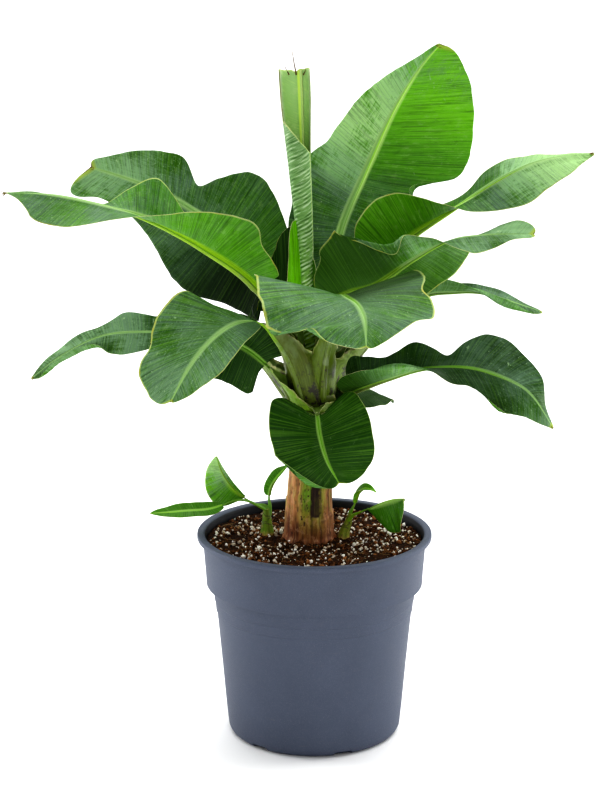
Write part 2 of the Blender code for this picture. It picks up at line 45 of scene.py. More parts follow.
# ---- leaves: the same sizes as the frame, in millimetres ----------------------
# rib, start, face, wa/wb, fa/fb, ca/cb, sweep, base, tip, stalk: as in the frame's leaf blades
# rw     half-width of the midrib at the blade's base
# wave   margin ripples: height in mm, waves along the blade, phase (left half, right half)
# tint   0 dark old leaf .. 1 young bright leaf, and with it painted shade where the blade lies in shadow (low values) and painted glow of light shining through the blade (high values); even stations along the blade; tinta, tintb for one half; the bloom mark alike, with one for each half: waxy bloom together with painted sheen
# cream  how far out the pale margin is kept, just under 1 for leaves without one
# veer   how far the side veins fan out towards the tip, in degrees, for each half
# keel   tone of the stalk and keel, 0..1
# adda   extra width of the left half that folds over, in mm, with rolla the angle of the fold; addb, rollb for the right half
# sheath the clasping base: radius at its foot, tone, spread
LEAVES = {
    'tall': dict(rib=[(6,14,450),(14,32,508),(30,60,582),(57,84,643),(91,110,713),(122,127,760),(144,134,784)],start=.22,
        face=(-.05,-1,.25),wa=(60,60,60,62,66,68,56,51,48,42,34,26,18,12,9),wb=(50,54,60,64,67,68,62,99,104,98,90,79,71,62,54),fa=(15,10,0,-5),fb=(5,5,0,-10),ca=(0,0,-10),cb=(0,0,0),sa=(-50,-4,15,25,35),sb=(-40,-8,7,20,32),tip=.26,base=.07),
    'back_left': dict(rib=[(-15,15,440),(-34,50,490),(-60,88,530),(-98,110,562),(-146,130,594),(-202,150,618),(-264,168,636)],start=.28,
        face=(-.2,-1,.7),wa=(56,56,62,71,81,80,72,63,55,47,41,39,38,48,62),wb=(52,48,52,66,76,74,51,28,50,49,44,37,27,18,16),fa=(-20,-20,-10),fb=(20,20,10),
  sa=(-66,-26,-11,-4,4,10,15,20,25,28,30,33,35),sb=(-72,-24,-8,0,5,10,15,20,25,28,30,33,35),tip=.1,base=.05),
    'left': dict(rib=[(-24,0,422),(-40,-8,480),(-69,-15,533),(-123,-20,574),(-173,-20,602),(-213,-20,618),(-287,-20,635),(-345,-20,637)],start=.261,
        face=(0,0,1),wa=(26,35,43,63,57,46,36,36,46,52,54,52,46,30,17,8),wb=(24,40,43,46,47,48,52,54,45,34,30,28,23,18,14,10),fa=(84,84,78,68,59,47,32,14,-4,-20,-32,-38,-36,-28,-18,-10),fb=(15,15,13,12,14,20,38,50,22,-10,-15,-12,-12,-10,-6,0),
  sa=(-30,-24,-16,-12,4,12,14,16,18,21,24,27,30,32,34,35),sb=(-30,0,8,12,15,22,30,35,35),tip=.2,base=.05),
    'front_left': dict(rib=[(-12,-27,390),(-27,-43,448),(-43,-53,478),(-58,-68,500),(-78,-95,508),(-98,-120,505),(-119,-140,490),(-135,-155,470),(-153,-170,438)],start=.48,
        face=(-.3,-.5,1),wa=(20,22,24,28,32,35,38,39,39,36,32,27,23,18,13),wb=(52,62,72,76,77,75,71,66,66,65,60,55,52,48,46),fa=(-10,-10,-10),fb=(12,16,24,18,13,11,8,6,7,6,3,0,-4,-7,-10),sa=(-5,5,15,25,35),sb=(10,30,38,38,35),tip=.35),
    'front': dict(rib=[(8,-24,402),(12,-42,450),(24,-62,510),(28,-85,535),(36,-110,538),(46,-135,536),(53,-165,526),(54,-200,505)],start=.5,
        face=(0,-.1,1),wa=(88,89,90,90,88,84,74,78,78,74,58,45,33,22,16),wb=(88,95,98,101,106,109,111,110,107,103,92,80,62,45,30),fa=(15,15,14,13,12,10,8,8,8,9,16,12,8,4,0),fb=(18,20,18,14,9,6,4,2,0,-2,6,18,16,10,0),sa=(-8,5,15,25,35),sb=(-8,1,8,17,30),tip=.35,base=.08,grid=(13,3)),
    'cup': dict(rib=[(18,-5,425),(11,-20,480),(20,-30,516),(39,-30,527),(65,-30,534),(108,-30,564),(149,-30,587),(180,-30,592),(242,-30,593)],start=.2714,
        face=(-.2,0,1),wa=(24,30,36,43,46,48,49,50,49,48,43,37,34,32,28,24),wb=(20,47,66,75,58,40,27,30,23,32,34,28,22,18,17,16),fa=(-70,-70,-73,-75,-75,-75,-71,-65,-55,-42,-27,-10,13,32,36,35),fb=(80,80,82,86,88,88,85,75,50,-5,-27,-30,-27,-20,-15,-10),
  sa=(15,15,20,28,35),sb=(-6,-8,-18,-12,2,2,-2,0,5,10,15,20,25,30,33,35),tip=.2,base=.05,grid=(14,3)),
    'right_high': dict(rib=[(14,4,445),(31,10,502),(74,15,552),(111,17,583),(152,18,611),(201,18,644),(243,18,665),(279,20,673),(311,22,675)],start=.3,
        face=(0,0,1),wa=(32,36,36,30,34,30,20,10),wb=(50,57,62,56,41,28,28,35,42,46,43,38,31,22,14),fa=(45,45,15,8,18,10,-8,-10),fb=(68,75,80,76,58,28,-22,-46,-55,-55,-46,-38,-30,-24,-20),sb=(-12,5,8,10,15,20,28,32),tip=.2,base=.08),
    'right_small': dict(rib=[(25,8,410),(60,40,450),(123,80,498),(163,100,500),(195,110,497),(268,130,470)],start=.42,
        face=(0,0,1),wa=(12,12,12,12,14,15,16,14),wb=(12,14,18,12,10,10,12,12),fa=(60,50,30,0),fb=(80,60,-40,-20),tip=.3),
    'right_low': dict(rib=[(26,-15,388),(36,-30,408),(58,-50,424),(80,-60,435),(122,-70,450),(174,-85,454),(222,-95,439),(238,-100,427),(262,-100,390)],start=.10,
        face=(0,-.2,1),wa=(26,42,36,28,28,34,26,17,32,45,46,36,27,21,15,10),wb=(24,28,26,24,22,20,21,24,23,29,36,36,35,28,20,10),fa=(60,60,52,45,45,45,37,30,32,35,36,35,29,20,10,0),fb=(50,56,56,53,46,31,6,-21,-40,-46,-46,-42,-38,-33,-26,-20),
  sa=(-25,0,8,-4,-1,4,12),sb=(-25,0,15,20,18,15,20),tip=.3,base=.1),
    'hang': dict(rib=[(2,-30,386),(2,-42,398),(3,-54,392),(6,-70,372),(14,-86,348),(27,-100,327)],start=.27,
        face=(0,-1,.4),wa=(50,56,60,59,56,52,47,40),wb=(55,58,57,51,42,33,25,18),fa=(20,10,-5),fb=(20,10,-5),tip=.5,base=.12,sweep=(-40,-10,10,25,35),stalk=(4.2,2.8)),
    'far_left': dict(rib=[(-26,9,390),(-75,60,436),(-133,80,452),(-193,100,452),(-249,115,444),(-299,125,418),(-337,130,388)],start=.36,
        face=(0,-.2,1),wa=(25,27,28,24,20,24,28,22,12,10,9,9,10,10,10),wb=(20,21,22,20,19,22,24,17,13,14,14,13,12,10,8),fa=(-60,-50,-30),fb=(60,50,30),tip=.3),
    'low_left': dict(rib=[(-24,-18,386),(-32,-30,415),(-59,-30,449),(-89,-20,466),(-130,0,462),(-168,20,440)],start=.34,
        face=(0,-.3,1),wa=(42,44,44,40,34,24),wb=(32,34,33,30,24,18),fa=(-55,-45,-30),fb=(72,62,48,38,28),sa=(-30,-4,12,25,35),sb=(-40,-6,12,25,35),tip=.4,base=.09),
    'low_right': dict(rib=[(19,23,390),(30,32,393),(48,50,394),(64,72,390),(76,95,376)],start=.3,
        face=(0,0,1),wa=(34,38,36,30,22),wb=(30,34,32,28,20),fa=(20,10,0),fb=(-30,-20,-10),tip=.4,base=.2),
    'back': dict(rib=[(-5,21,425),(-8,60,480),(-6,110,528),(2,165,548),(10,215,535),(14,255,500)],start=.38,
        face=(0,0,1),wa=(45,50,52,50,44,36),wb=(45,50,52,50,44,36),fa=(25,10,-10),fb=(25,10,-10),tip=.4,base=.15),
    'back_right': dict(rib=[(6,26,410),(35,70,455),(60,125,490),(82,185,492),(95,235,465)],start=.36,
        face=(0,0,1),wa=(34,40,42,38,30),wb=(34,40,42,38,30),fa=(20,10,-10),fb=(20,10,-10),tip=.4,base=.15,grid=(10,3)),
    'back_low': dict(rib=[(-17,24,390),(-50,75,420),(-82,125,436),(-103,180,430),(-112,225,402)],start=.36,
        face=(0,0,1),wa=(32,36,36,32,26),wb=(32,36,36,32,26),fa=(10,0,-15),fb=(10,0,-15),tip=.4,base=.15,grid=(10,3)),
    'sucker_left_flat': dict(rib=[(-60,20,262),(-78,18,271),(-92,15,272),(-107,8,268),(-122,0,266),(-148,-10,267),(-171,-20,268),(-187,-30,270)],start=.36,
        face=(0,-.55,1),wa=(11,12,13,12,10,6),wb=(10,11,12,11,9,5),fa=(12,6,0),fb=(12,6,0),tip=.5,base=.2,stalk=(2.4,1.6),grid=(8,2)),
    'sucker_left_up': dict(rib=[(-58,26,262),(-75,25,268),(-95,24,285),(-107,23,304),(-113,22,323)],start=.3,
        face=(0,1,.2),wa=(3,5,5,3),wb=(14,33,25,9),fa=(10,10,10),fb=(10,10,10),sb=(5,-12,8,25),tip=.75,base=.16,stalk=(2.4,1.6),grid=(8,2)),
    'sucker_left_back': dict(rib=[(-52,27,262),(-53,29,273),(-50,31,284),(-42,34,296),(-31,36,308)],start=.22,
        face=(-1,-.5,.5),wa=(7,10,10,5),wb=(7,10,10,5),fa=(40,30,10),fb=(40,30,10),tip=.6,base=.2,stalk=(2.4,1.6),grid=(8,2)),
    'sucker_right_hook': dict(rib=[(42,7,262),(47,6,274),(51,4,285),(57,-1,291),(64,-6,292),(71,-8,289)],start=.22,
        face=(-.6,0,.6),wa=(6,8,7,3),wb=(6,8,7,3),fa=(30,30,10),fb=(30,30,10),tip=.6,base=.2,stalk=(2.4,1.6),grid=(8,2)),
    'sucker_right_broad': dict(rib=[(48,-1,262),(60,-8,269),(75,-16,279),(90,-24,286),(101,-32,289)],start=.25,
        face=(0,-.3,1),wa=(4,9,12,12,7),wb=(8,30,38,37,26),fa=(-50,-50,-50),fb=(-68,-66,-62),sb=(0,-2,2,6,10),tip=.34,base=.12,stalk=(2.4,1.6),grid=(8,2)),
}
STALK = (5.0, 3.2)
END_W = 0.0020

LOOKS = {
    # tall: tint rising to 1 towards the tip paints the glow of light shining through the upright blade
    'tall': dict(cream=.972, rw=6.0, addb=(0, 0, 0, 0, 0, 2, 9, 0, 0, 0, 0, 0, 0, 0, 0), rollb=(0, 0, 0, 0, 0, 120, 150, 60, 0, 0, 0, 0, 0, 0, 0), veer=(5, 22), wave=((1.5, 3.0, 0.2), (2.5, 2.5, 0.1)), tint=(.34, .50, .74, .94, 1.0), tinta=(.34, .50, .66, .84, .9), waxa=(.4, 1.0, 1.9, 1.8, 1.2), waxb=(.6, .8, .9, .5, .15, .10, .20, .75, .35), keel=.8, ridge=.45,
                 sheath=dict(foot_r=.0160, tone=.9)),
    # back_left: tint near 0 at the base paints the deep shade under the leaves above
    'back_left': dict(cream=.972, rw=4.0, wave=((2.0, 3.0, 0.0), (2.0, 2.0, 0.4)), tint=(0, .04, .30, .48, .52), tintb=(.46, .44, .40, .46, .5), wax=(0, .1, .9, 1.3, 1.5), waxb=(.1, .45, 1.0, 1.4, 1.5), ridge=.5,
                      sheath=dict(foot_r=.0196, tone=.8)),
    'left': dict(rw=4.6, keel=.85, wave=((1.5, 3.0, 0.3), (2.0, 3.0, 0.6)), tint=(.66, .70, .60, .52), wax=(.2, .45, 1.1, 1.0), ridge=.3,
                 sheath=dict(foot_r=.0190, tone=.8)),
    'front_left': dict(rw=1.8, keel=.6, veer=(18, 30), wave=((1.0, 3.0, 0.1), (1.2, 3.0, 0.5)), tint=(.35, .45, .5), wax=(.8, 1.2, 1.25), ridge=.3,
                       sheath=dict(foot_r=.0212, tone=.25, hold=1.5, fall=1.0, skew=(1.0, 1.25), ruffle=1.5)),
    # front: the low tinta over the base of that half paints the shade of a fold
    'front': dict(rw=1.8, keel=.2, veer=(38, 48), addb=(0, 0, 0, 0, 0, 0, 0, 0, 3, 13, 18, 14, 5, 0, 0), rollb=(0, 0, 0, 0, 0, 0, 0, 60, 120, 150, 160, 150, 100, 0, 0), wave=((3.0, 2.5, 0.3), (2.5, 3.0, 0.2)), tint=(.40, .45, .5), tinta=(.10, .12, .16, .34, .5, .5, .5, .5), waxa=(.0, .05, .15, .7, 1.0, 1.0, 1.0, 1.0), waxb=(.9, 1.0, 1.1, 1.1, 1.0), ridge=.35,
                  sheath=dict(foot_r=.0184, tone=.55)),
    # cup: the low tint at the base, where the blade stands upright, paints it in shade
    'cup': dict(rw=3.6, keel=.5, addb=(0, 0, 0, 2, 9, 14, 14, 3, 0, 0, 0, 0, 0, 0, 0, 0), rollb=(-20, -20, -60, -150, -160, -160, -150, -90, 0, 0, 0, 0, 0, 0, 0, 0), wave=((2.0, 3.0, 0.2), (2.0, 4.0, 0.7)), tint=(.10, .12, .30, .42, .45), wax=(0, .1, .5, 1.3, 1.5), tintb=(.10, .10, .12, .12, .14, .20, .50, .60, .50, .42, .42, .42, .42, .45, .45, .45), waxb=(0, 0, .05, .1, .1, .3, 1.1, 1.5, 1.3, 1.2, 1.3, 1.3, 1.3, 1.3, 1.5, 1.6), ridge=.35,
                sheath=dict(foot_r=.0178, tone=.7)),
    # right_high: the raised tint at the base lightens the shaded near half: painted light
    'right_high': dict(rw=3.8, wave=((1.5, 3.0, 0.5), (1.0, 3.0, 0.2)), tint=(.66, .54, .42, .5), wax=(0, .1, 1.7, 2.0), keel=.95, ridge=.3,
                       sheath=dict(foot_r=.0168, tone=.8)),
    'right_small': dict(cream=.972, rw=2.4, addb=(0, 0, 0, 0, 2, 6, 9, 9, 7, 3, 0), rollb=(0, 0, 0, 0, 120, 150, 150, 150, 150, 120, 0), wave=((1.0, 4.0, 0.5), (1.0, 5.0, 0.2)), tint=(.30, .26, .32), wax=(1.0, 1.1, 1.2), ridge=.5,
                        sheath=dict(foot_r=.0206, tone=.6)),
    'right_low': dict(cream=.972, rw=2.3, veer=(34, 44), addb=(0, 0, 0, 3, 7, 6, 2, 0, 0, 3, 4, 2, 0, 0, 0, 0), rollb=(0, 0, 0, 90, 150, 150, 120, 0, 60, 140, 150, 120, 0, 0, 0, 0), wave=((2.5, 4.0, 0.1), (2.5, 4.5, 0.6)), tint=(.12, .20, .14, .2, .38), wax=(.4, .3, .5, 1.0, 1.2), tintb=(.0, .0, .02, .22, .58, .50, .16, .14, .14, .14, .2, .2, .3, .38, .38, .38), waxb=(.0, .05, .15, .7, 1.3, 1.3, .4, .3, .3, .3, .5, .8, 1.0, 1.1, 1.2, 1.2), ridge=.6,
                      sheath=dict(foot_r=.0230, tone=.95, spread=80)),
    'hang': dict(cream=.985, rw=1.9, addb=(0, 0, 0, 0, 0, 2, 6, 10, 12, 12, 10, 6, 0), rollb=(0, 0, 0, 0, 60, 110, 140, 150, 150, 150, 150, 120, 0), wave=((1.5, 2.5, 0.1), (2.5, 3.0, 0.6)), tint=(.30, .30, .36), wax=(.0, .05, .1), ridge=.22,
                 sheath=dict(foot_r=.0238, tone=.6, spread=60)),
    'far_left': dict(cream=.972, rw=1.3, keel=.3, adda=(0, 0, 0, 0, 0, 2, 7, 9, 9, 6, 0), rolla=(0, 0, 0, 0, 60, 120, 150, 150, 150, 130, 0), wave=((1.5, 5.0, 0.1), (1.5, 4.0, 0.6)), tint=(.25, .30, .30), wax=(1.1, 1.3, 1.4), ridge=.6,
                     sheath=dict(foot_r=.0222, tone=.7)),
    'low_left': dict(cream=.972, rw=1.8, keel=.3, wave=((2.0, 3.0, 0.1), (2.0, 3.0, 0.6)), tint=(.16, .17, .18), wax=(.10, .12, .2), ridge=.5,
                     sheath=dict(foot_r=.0228, tone=.95, spread=80)),
    'low_right': dict(cream=.972, rw=2.0, wave=((2.0, 3.0, 0.1), (2.0, 3.0, 0.6)), tint=(.20, .22, .24), wax=(.0, .0, .1), ridge=.4,
                      sheath=dict(foot_r=.0234, tone=.6)),
    'back': dict(cream=.972, rw=3.0, wave=((2.0, 3.0, 0.1), (2.0, 3.0, 0.6)), tint=(.3, .3, .4), wax=(.3, .3, .3), ridge=.4,
                 sheath=dict(foot_r=.0174, tone=.6)),
    'back_right': dict(cream=.972, rw=2.8, wave=((2.0, 3.0, 0.1), (2.0, 3.0, 0.6)), tint=(.3, .3, .4), wax=(.3, .3, .3), ridge=.4,
                       sheath=dict(foot_r=.0216, tone=.6)),
    'back_low': dict(cream=.972, rw=2.6, wave=((2.0, 3.0, 0.1), (2.0, 3.0, 0.6)), tint=(.15, .15, .25), wax=(.3, .3, .3), ridge=.4,
                     sheath=dict(foot_r=.0220, tone=.6)),
    'sucker_left_flat': dict(rw=.9, wave=((.5, 3.0, 0.1), (.5, 3.0, 0.6)), tint=(.60, .68, .72), wax=(.15,), keel=.55, ridge=.15, fold=.4),
    'sucker_left_up': dict(rw=.8, wave=((.8, 2.0, 0.1), (.8, 2.0, 0.6)), tint=(.55, .75, 1.0, 1.0), wax=(.2, .6, 1.8, 2.0), keel=.55, ridge=.15, fold=.4),
    'sucker_left_back': dict(rw=1.4, wave=((.6, 2.0, 0.1), (.6, 2.0, 0.6)), tint=(.68, .7, .8), wax=(.2,), keel=.55, ridge=.15, fold=.4),
    'sucker_right_hook': dict(rw=1.4, wave=((.6, 2.0, 0.1), (.6, 2.0, 0.6)), tint=(.8, .8, .9), wax=(.2,), keel=.55, ridge=.15, fold=.4),
    'sucker_right_broad': dict(rw=1.0, wave=((.8, 2.0, 0.1), (.8, 2.0, 0.6)), tint=(.60, .70, .74), wax=(.0, .1, .5, .8), keel=.55, ridge=.2, fold=.4),
}


# ---- curves -----------------------------------------------------------------
def smooth(vals, t):
    v = np.asarray(vals, float)
    if v.ndim == 0 or len(v) == 1:
        return np.full(np.shape(t), float(v if v.ndim == 0 else v[0]))
    n = len(v) - 1
    x = np.clip(np.asarray(t, float), 0, 1) * n
    i = np.clip(np.floor(x).astype(int), 0, n - 1)
    f = x - i
    e = np.concatenate([[2 * v[0] - v[1]], v, [2 * v[-1] - v[-2]]])
    a, b, c, d = e[i], e[i + 1], e[i + 2], e[i + 3]
    return b + 0.5 * f * (c - a + f * (2 * a - 5 * b + 4 * c - d + f * (3 * (b - c) + d - a)))


def fair(points, m=400):
    p = np.asarray(points, float)
    d = np.linalg.norm(np.diff(p, axis=0), axis=1) ** 0.5
    k = np.concatenate([[0], np.cumsum(d)])
    e = np.vstack([2 * p[0] - p[1], p, 2 * p[-1] - p[-2]])
    ke = np.concatenate([[k[0] - d[0]], k, [k[-1] + d[-1]]])
    out = []
    for q in np.linspace(0, k[-1], m):
        i = max(min(int(np.searchsorted(k, q, side='right')) - 1, len(p) - 2), 0)
        p0, p1, p2, p3 = e[i:i + 4]
        t0, t1, t2, t3 = ke[i:i + 4]
        a1 = (t1 - q) / (t1 - t0) * p0 + (q - t0) / (t1 - t0) * p1
        a2 = (t2 - q) / (t2 - t1) * p1 + (q - t1) / (t2 - t1) * p2
        a3 = (t3 - q) / (t3 - t2) * p2 + (q - t2) / (t3 - t2) * p3
        b1 = (t2 - q) / (t2 - t0) * a1 + (q - t0) / (t2 - t0) * a2
        b2 = (t3 - q) / (t3 - t1) * a2 + (q - t1) / (t3 - t1) * a3
        out.append((t2 - q) / (t2 - t1) * b1 + (q - t1) / (t2 - t1) * b2)
    out = np.array(out)
    return out, np.concatenate([[0], np.cumsum(np.linalg.norm(np.diff(out, axis=0), axis=1))])


def along(points, share):
    c, s = fair(points)
    q = np.asarray(share) * s[-1]
    h = s[-1] * 0.01

    def at(x):
        x = np.clip(x, 0, s[-1])
        return np.stack([np.interp(x, s, c[:, k]) for k in range(3)], -1)
    t = at(q + h) - at(q - h)
    return at(q), t / np.linalg.norm(t, axis=1)[:, None], s[-1]


def unit(v):
    return v / np.maximum(np.linalg.norm(v, axis=-1), 1e-12)[..., None]


def wander(seed, x, pitch):
    """Smooth seeded noise of one variable, about -1..1."""
    rng = np.random.default_rng(seed)
    x = np.asarray(x, float) / pitch
    n = int(np.ceil(x.max() - min(x.min(), 0))) + 4
    v = rng.uniform(-1, 1, n)
    x = x - min(x.min(), 0)
    i = np.floor(x).astype(int)
    f = x - i
    f = f * f * (3 - 2 * f)
    return v[i] * (1 - f) + v[i + 1] * f


# ---- meshes -------------------------------------------------------------------
def build(name, verts, faces, mats, which=None, uv=None, marks=None, flat=False):
    """Mesh object from arrays; uv and marks are given for each vertex."""
    me = bpy.data.meshes.new(name)
    verts = np.asarray(verts, np.float32)
    me.from_pydata([], [], [])
    loops = np.concatenate([np.asarray(f, np.int32).ravel() for f in faces])
    sizes = np.concatenate([np.full(len(f), np.asarray(f).shape[1], np.int32) for f in faces])
    me.vertices.add(len(verts))
    me.vertices.foreach_set('co', verts.ravel())
    me.loops.add(len(loops))
    me.loops.foreach_set('vertex_index', loops)
    me.polygons.add(len(sizes))
    starts = np.concatenate([[0], np.cumsum(sizes)[:-1]]).astype(np.int32)
    me.polygons.foreach_set('loop_start', starts)
    for m in mats:
        me.materials.append(m)
    if which is not None:
        me.polygons.foreach_set('material_index', np.asarray(which, np.int32))
    me.update(calc_edges=True)
    me.validate()
    if uv is not None:
        layer = me.uv_layers.new(name='UVMap')
        li = np.zeros(len(me.loops), np.int32)
        me.loops.foreach_get('vertex_index', li)
        layer.data.foreach_set('uv', np.asarray(uv, np.float32)[li].ravel())
    for key, vals in (marks or {}).items():
        at = me.attributes.new(key, 'FLOAT', 'POINT')
        at.data.foreach_set('value', np.asarray(vals, np.float32))
    if not flat:
        me.shade_smooth()
    ob = bpy.data.objects.new(name, me)
    bpy.context.scene.collection.objects.link(ob)
    return ob


def strip_faces(n, m, off=0, wrap=False, flip=False):
    r = np.arange(n - 1)[:, None]
    c = np.arange(m if wrap else m - 1)[None]
    d = (c + 1) % m
    a, b, e, f = r * m + c, r * m + d, (r + 1) * m + d, (r + 1) * m + c
    q = np.stack([a, b, e, f], -1).reshape(-1, 4) + off
    return q[:, ::-1] if flip else q


def rim_faces(n, m, off):
    rim = [r * m for r in range(n)] + [(n - 1) * m + c for c in range(1, m)]
    rim += [r * m + m - 1 for r in range(n - 2, -1, -1)] + [c for c in range(m - 2, 0, -1)]
    a = np.array(rim)
    b = np.roll(a, -1)
    return np.stack([a, b, off + b, off + a], -1)


def half_strip(side, p, sid, nor, tan, wide, lift, curl, sweep, us, roll=None):
    """Points of one half of a blade; us is rows x columns, 0 at the rib and 1 at the margin. Returns points and upper-side normals.
    roll is (turn, place, width) for each row: the strip past the place turns by that angle within the width."""
    us = np.broadcast_to(us, (len(p), np.shape(us)[-1]))
    fine = 3

    def angle(u, col):
        ang = lift + curl * u if not col else lift[:, None] + curl[:, None] * u
        if roll is not None:
            a, at, w = (z[:, None] if col else z for z in roll)
            f = np.clip((u - at) / w, 0, 1)
            ang = ang + a * f * f * (3 - 2 * f)
        return ang
    now = p
    pts = [p]
    for k in range(us.shape[1] - 1):
        step = (us[:, k + 1] - us[:, k]) / fine
        for q in range(fine):
            ang = angle(us[:, k] + step * (q + 0.5), False)
            d = side * np.cos(ang)[:, None] * sid + np.sin(ang)[:, None] * nor
            d = np.cos(sweep)[:, None] * d + np.sin(sweep)[:, None] * tan
            now = now + d * (wide * step)[:, None]
        pts.append(now)
    ang = angle(us, True)
    ups = -side * np.sin(ang)[..., None] * sid[:, None] + np.cos(ang)[..., None] * nor[:, None]
    return np.stack(pts, 1), ups


def leaf_frame(leaf, t):
    start = leaf['start']
    p, tan, length = along(np.asarray(leaf['rib']) * MM, start + (1 - start) * t)
    face = np.asarray(leaf['face'], float)
    nor = unit(face[None] - (tan @ face)[:, None] * tan)
    return p, tan, nor, np.cross(nor, tan), length


def rib_half(look, v):
    """Half-width of the midrib along the blade, v = 0 at its base."""
    return (look['rw'] * (1 - np.clip(v, 0, 1)) ** 0.8 * (1 - 0.25 * np.clip(v * 6, 0, 1)) + 0.35) * MM


